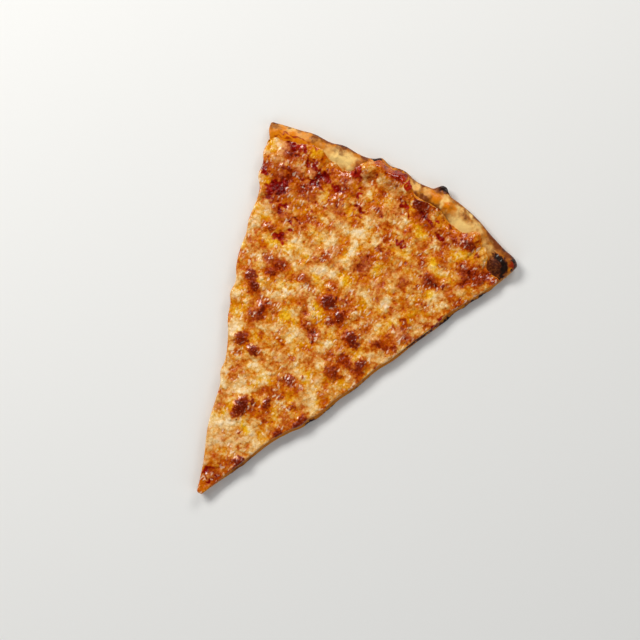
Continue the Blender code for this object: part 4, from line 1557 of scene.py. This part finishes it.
class CrustLayer(Layer):
    """The baked dough: flat base, bare rim with bubbles, charred edge."""

    node = "crust"
    MARKS = ("pale", "oily", "brown", "red", "char")
    # Distances from the outer edge, in mm, over which it turns darker brown, scorches and becomes the cut
    FRINGE = (2.2, 0.2)
    SCORCH = (2.4, 0.6)
    CUT_FROM = (8.0, 4.0)
    # Heights in mm: a cut browns towards the base, ends as crumb, chars at its top, has pores
    LOW = (3.4, 1.0)
    CRUMB_TOP = (6.5, 4.5)
    CHAR_TOP = (6.5, 3.5)
    PORES_FROM = (0.3, 0.8)
    PORES_TO = (4.2, 3.0)
    # Steepness of a cut face, and how far a face looks down to be the underside
    STEEP = (0.35, 0.8)
    DOWN = (-0.5, -0.9)

    def build(self, pattern: CrustPattern, material: bpy.types.Material) -> bpy.types.Object:
        """Makes the crust.

        Args:
            pattern: Its masks.
            material: Its finish.

        Returns:
            The piece.
        """
        made, chart = self.shape(), self.chart
        places, normals = vertex_table(made)
        x, y, z = places.T
        facing = normals[:, 2]
        up, side = np.clip(facing, 0, 1), 1.0 - np.abs(facing)
        read = self.readings(pattern, self.MARKS, x, y)
        places = places + normals * (chart.read(pattern.relief, x, y) * up)[:, None]
        # Outer edge darker brown, with scorched spots
        edge = self.rim_depth(x, y)
        uneven = chart.read(chart.grain(6.0, 291), x, y)
        fringe = ease(*self.FRINGE, edge + 0.7 * uneven) * ease(0.2, 0.8, 1.0 - 0.5 * read["pale"])
        browned = np.clip(read["brown"] + 0.55 * fringe, 0, 1)
        scorch = ease(0.9, 2.2, uneven) * ease(*self.SCORCH, edge)
        char = np.clip(np.maximum(read["char"], 0.8 * scorch), 0, 1)
        # Cut faces and underside
        cut = ease(*self.STEEP, side) * ease(*self.CRUMB_TOP, z)
        under = ease(*self.DOWN, facing)
        shown = 1 - under
        browned = browned * ease(-0.4, 0.3, facing) + 0.4 * ease(*self.LOW, z) * cut
        brown = np.where(under > 0.5, chart.read(pattern.under, x, y), browned)
        char_top = z + 1.2 * chart.read(chart.grain(2.0, 292), x, y)
        wall = side * ease(*self.CUT_FROM, edge) * ease(*self.CHAR_TOP, char_top)
        attach(made, {
            "pale": read["pale"] * shown * (1 - cut),
            "oily": read["oily"] * shown * (1 - cut),
            "brown": np.clip(brown, 0, 1),
            "red": read["red"] * shown,
            "char": np.clip(char * (1 - 0.6 * under) * (1 - 0.9 * wall), 0, 1),
            "cut": cut,
            "under": under,
            "grainy": (0.5 + 0.5 * side) * shown,
            "porous": cut * ease(*self.PORES_FROM, z) * ease(*self.PORES_TO, z),
        })
        places[places[:, 2] < 0, 2] = 0.0
        move_vertices(made, places)
        return self.finish(made, material)


class SauceLayer(Layer):
    """The thin layer of sauce, seen at the cuts and along the bare rim."""

    node = "sauce"
    # How far it swells into the gaps, unevenly, and more near the outer edge, in mm
    SWELL = 0.16
    UNEVEN = 0.10
    SEAL = 0.22
    SEAL_REACH = (1.5, 0.3)
    # Distance from the outer edge over which it thins out, and the share that is left there
    THIN = 3.5
    THINNEST = 0.15

    def build(
        self, pattern: CheesePattern, material: bpy.types.Material, crust: bpy.types.Object
    ) -> bpy.types.Object:
        """Makes the sauce.

        Args:
            pattern: The cheese's masks.
            material: Its finish.
            crust: The finished crust, on which the sauce thins out along the rim.

        Returns:
            The piece.
        """
        made, chart = self.shape(), self.chart
        places, normals = vertex_table(made)
        x, y = places[:, 0], places[:, 1]
        depth = self.rim_depth(x, y)
        swell = self.SWELL + self.UNEVEN * chart.read(chart.grain(3.0, 301), x, y)
        swell = swell + self.SEAL * ease(*self.SEAL_REACH, depth)
        places = places + normals * swell[:, None]
        bed = Solid(crust)
        for index in np.flatnonzero(depth < self.THIN):
            level = bed.top(places[index, 0], places[index, 1])
            if places[index, 2] > level:
                share = blend(self.THINNEST, 1.0, ease(0.0, self.THIN, depth[index]))
                places[index, 2] = level + (places[index, 2] - level) * share
        self.mark(made, self.readings(pattern, ("sauce",), x, y))
        move_vertices(made, places)
        return self.finish(made, material)


class CheeseLayer(Layer):
    """The melted cheese with its curds, oil and toasted blisters."""

    node = "cheese"
    MARKS = ("tone", "curd", "burn", "sauce", "pink", "shine")
    # How far the outer edge droops outward, its unevenness, and the depths in mm over which it does
    DROOP = 2.0
    UNEVEN = 0.25
    DROOP_REACH = (2.8, 0.2)
    # Depths over which it comes down on its bed, and thickness left at the edge and further in, in mm
    DRAPE_REACH = (2.8, 1.0)
    FILM = (0.12, 0.55)
    FILM_REACH = (0.0, 2.0)
    TUCK = 0.05
    # Least reach in mm of a vertex that is draped, and least upward share of one on the top
    LEAST = 0.05
    TOP = 0.1

    def draped(
        self, places: np.ndarray, reach: np.ndarray, depth: np.ndarray, top: np.ndarray, beds: list[Solid]
    ) -> np.ndarray:
        """Draws the cheese's outer edge out over the sauce and the foot of the rim.

        Args:
            places: The vertices.
            reach: How far each one goes outward, in mm.
            depth: Each one's distance from the outer edge, in mm.
            top: Whether each one looks up.
            beds: What the cheese lies on.

        Returns:
            The new vertices.
        """
        away = places[:, :2] - PIE_CENTRE
        places[:, :2] += away / np.hypot(away[:, 0], away[:, 1])[:, None] * reach[:, None]
        for index in np.flatnonzero(reach > self.LEAST):
            x, y, z = places[index]
            levels = [level for level in (bed.top(x, y) for bed in beds) if not math.isnan(level)]
            if not levels:
                continue
            if top[index]:
                film = blend(*self.FILM, ease(*self.FILM_REACH, depth[index]))
                places[index, 2] = blend(z, max(levels) + film, ease(*self.DRAPE_REACH, depth[index]))
            else:
                places[index, 2] = min(z, max(levels) - self.TUCK)
        return places

    def build(
        self, pattern: CheesePattern, material: bpy.types.Material, below: list[bpy.types.Object]
    ) -> bpy.types.Object:
        """Makes the cheese.

        Args:
            pattern: Its masks.
            material: Its finish.
            below: The finished crust and sauce, over which its outer edge droops.

        Returns:
            The piece.
        """
        made, chart = self.shape(), self.chart
        places, normals = vertex_table(made)
        x, y = places[:, 0], places[:, 1]
        up = np.clip(normals[:, 2], 0, 1)
        marks = self.readings(pattern, self.MARKS, x, y)
        depth = self.rim_depth(x, y)
        uneven = 1.0 + self.UNEVEN * chart.read(chart.grain(5.0, 311), x, y)
        droop = self.DROOP * uneven * ease(*self.DROOP_REACH, depth)
        places = places + normals * (chart.read(pattern.relief, x, y) * up)[:, None]
        beds = [Solid(piece) for piece in below]
        places = self.draped(places, np.clip(droop, 0, None), depth, up > self.TOP, beds)
        self.mark(made, marks)
        move_vertices(made, places)
        return self.finish(made, material)


@dataclass(frozen=True)
class BubbleSizes:
    """Numbers of the toasted bubbles, in mm."""

    per_mm2: float = 0.12
    least: float = 0.25
    most: float = 0.6
    flatness: float = 0.32
    detail: int = 2
    seed: int = 11


class ToastedBubbles:
    """Small shiny bubbles that stand on the dark blisters."""

    def __init__(self, sizes: BubbleSizes) -> None:
        """Keeps the sizes."""
        self.sizes = sizes

    def build(self, cheese: bpy.types.Object, material: bpy.types.Material) -> bpy.types.Object:
        """Scatters the bubbles over the cheese.

        Args:
            cheese: The finished cheese.
            material: Their finish.

        Returns:
            The piece.
        """
        sizes = self.sizes
        group = ScatterGroup("toasted_bubbles", "burn", sizes.detail, sizes.seed)
        values = {
            "Density": sizes.per_mm2 / MM**2,
            "Least size": sizes.least * MM,
            "Most size": sizes.most * MM,
            "Flatness": sizes.flatness,
            "Material": material,
        }
        mesh = group.apply(cheese, values)
        mesh.name = "toasted_bubbles"
        mesh.materials.clear()
        mesh.materials.append(material)
        mesh.polygons.foreach_set("material_index", np.zeros(len(mesh.polygons), dtype=np.int32))
        mesh.shade_smooth()
        made = new_object("toasted_bubbles", mesh)
        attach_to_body(made, "root")
        LOG.info("%s: %d faces", made.name, len(mesh.polygons))
        return made


class Tone(Enum):
    """Colour of each lamp."""

    DAY = (1.0, 0.985, 0.96)
    SKY = (0.96, 0.98, 1.0)


@dataclass(frozen=True)
class Lamp:
    """A soft rectangular lamp that looks at the slice."""

    name: str
    place: tuple[float, float, float]
    size: tuple[float, float]
    power: float
    tone: Tone
    glints: bool = True


@dataclass(frozen=True)
class StudioSizes:
    """Camera, floor and lamps, in metres and degrees."""

    aim: tuple[float, float] = (0.00365, 0.00938)
    height: float = 1.006
    slice_top: float = 0.006
    far: float = 10.0
    turn: float = 32.9
    view_width: float = 0.3827
    sensor: float = 36.0
    floor_side: float = 3.0
    floor_drop: float = 0.00003
    world: float = 0.06
    lamps: tuple[Lamp, ...] = (
        Lamp("key_lamp", (-1.05, 0.25, 0.95), (0.75, 0.4), 18.0, Tone.DAY),
        Lamp("far_lamp", (-0.2, 1.2, 0.8), (0.7, 0.4), 8.0, Tone.DAY),
        Lamp("right_lamp", (1.2, -0.1, 0.9), (1.2, 1.2), 6.0, Tone.SKY, False),
        Lamp("low_lamp", (0.1, -1.2, 0.8), (1.2, 1.2), 5.0, Tone.SKY, False),
    )


class Studio:
    """Floor, light and camera."""

    def __init__(self, sizes: StudioSizes) -> None:
        """Keeps the sizes."""
        self.sizes = sizes

    def build(self, material: bpy.types.Material) -> None:
        """Makes the studio.

        Args:
            material: Finish of the floor.
        """
        sizes = self.sizes
        half = sizes.floor_side / 2
        mesh = bpy.data.meshes.new("floor")
        low = -sizes.floor_drop
        corners = [(-half, -half, low), (half, -half, low), (half, half, low), (-half, half, low)]
        mesh.from_pydata(corners, [], [(0, 1, 2, 3)])
        mesh.materials.append(material)
        floor = new_object("floor", mesh)
        world = bpy.data.worlds.new("world")
        world.use_nodes = True
        background = world.node_tree.nodes["Background"]
        background.inputs["Color"].default_value = (1.0, 1.0, 1.0, 1.0)
        background.inputs["Strength"].default_value = sizes.world
        world.cycles_visibility.glossy = False
        scene = bpy.context.scene
        scene.world = world
        scene.view_settings.view_transform = "Standard"
        for lamp in sizes.lamps:
            self.light(lamp)
        self.camera()

    def light(self, lamp: Lamp) -> None:
        """Adds a lamp that looks at the slice."""
        data = bpy.data.lights.new(lamp.name, "AREA")
        data.shape = "RECTANGLE"
        data.size, data.size_y = lamp.size
        data.energy = lamp.power
        data.color = lamp.tone.value
        made = new_object(lamp.name, data)
        made.location = lamp.place
        made.visible_glossy = lamp.glints
        made.rotation_euler = (-Vector(lamp.place)).to_track_quat("-Z", "Y").to_euler()

    def camera(self) -> None:
        """Adds the camera, straight above."""
        sizes = self.sizes
        data = bpy.data.cameras.new("camera")
        data.sensor_width = sizes.sensor
        data.lens = sizes.sensor * (sizes.height - sizes.slice_top) / sizes.view_width
        data.clip_end = sizes.far
        made = new_object("camera", data)
        made.location = (sizes.aim[0], sizes.aim[1], sizes.height)
        made.rotation_euler = (0.0, 0.0, math.radians(sizes.turn))
        bpy.context.scene.camera = made


CRUST_SIZES = LayerSizes(
    insets=Insets(left=2.6, right=5.4, rim=3.6, tip=8.0),
    top=Weave(4.0, 0.5, 15.0),
    floor=Weave(1.6, 1.6, 4.0),
    levels=34,
    smooth=0.9,
    grain=0.9,
    grain_height=0.14,
    pore=1.6,
    pore_depth=0.35,
    seed=3.0,
)
SAUCE_SIZES = LayerSizes(
    insets=Insets(left=1.6, right=1.6, rim=3.0, tip=4.0),
    top=Weave(3.0, 0.6, 3.0),
    floor=Weave(3.0, 3.0, 6.0),
    levels=14,
    smooth=0.9,
    grain=1.2,
    grain_height=0.2,
    pore=2.0,
    pore_depth=0.0,
    seed=5.0,
)
CHEESE_SIZES = LayerSizes(
    insets=Insets(left=2.0, right=2.0, rim=2.0, tip=4.0),
    top=Weave(0.51, 0.51, 10.0),
    floor=Weave(2.4, 2.4, 6.0),
    levels=16,
    smooth=0.9,
    grain=1.3,
    grain_height=0.22,
    pore=2.0,
    pore_depth=0.0,
    seed=7.0,
)


def main() -> None:
    """Builds the slice's looks and the studio."""
    logging.basicConfig(level=logging.INFO, format="%(message)s")
    chart = Chart()
    grain = GrainGroup()
    cheese_pattern = CheesePattern(chart)
    crust_pattern = CrustPattern(chart)
    crust_finish = CrustFinish().build("crust_finish")
    crust = CrustLayer(chart, CRUST_SIZES, grain).build(crust_pattern, crust_finish)
    sauce_finish = SauceFinish().build("sauce_finish")
    sauce = SauceLayer(chart, SAUCE_SIZES, grain).build(cheese_pattern, sauce_finish, crust)
    cheese_finish = CheeseFinish().build("cheese_finish")
    cheese = CheeseLayer(chart, CHEESE_SIZES, grain).build(cheese_pattern, cheese_finish, [crust, sauce])
    ToastedBubbles(BubbleSizes()).build(cheese, BubbleFinish().build("bubble_finish"))
    Studio(StudioSizes()).build(FloorFinish().build("floor_finish"))


if __name__ == "__main__":
    main()
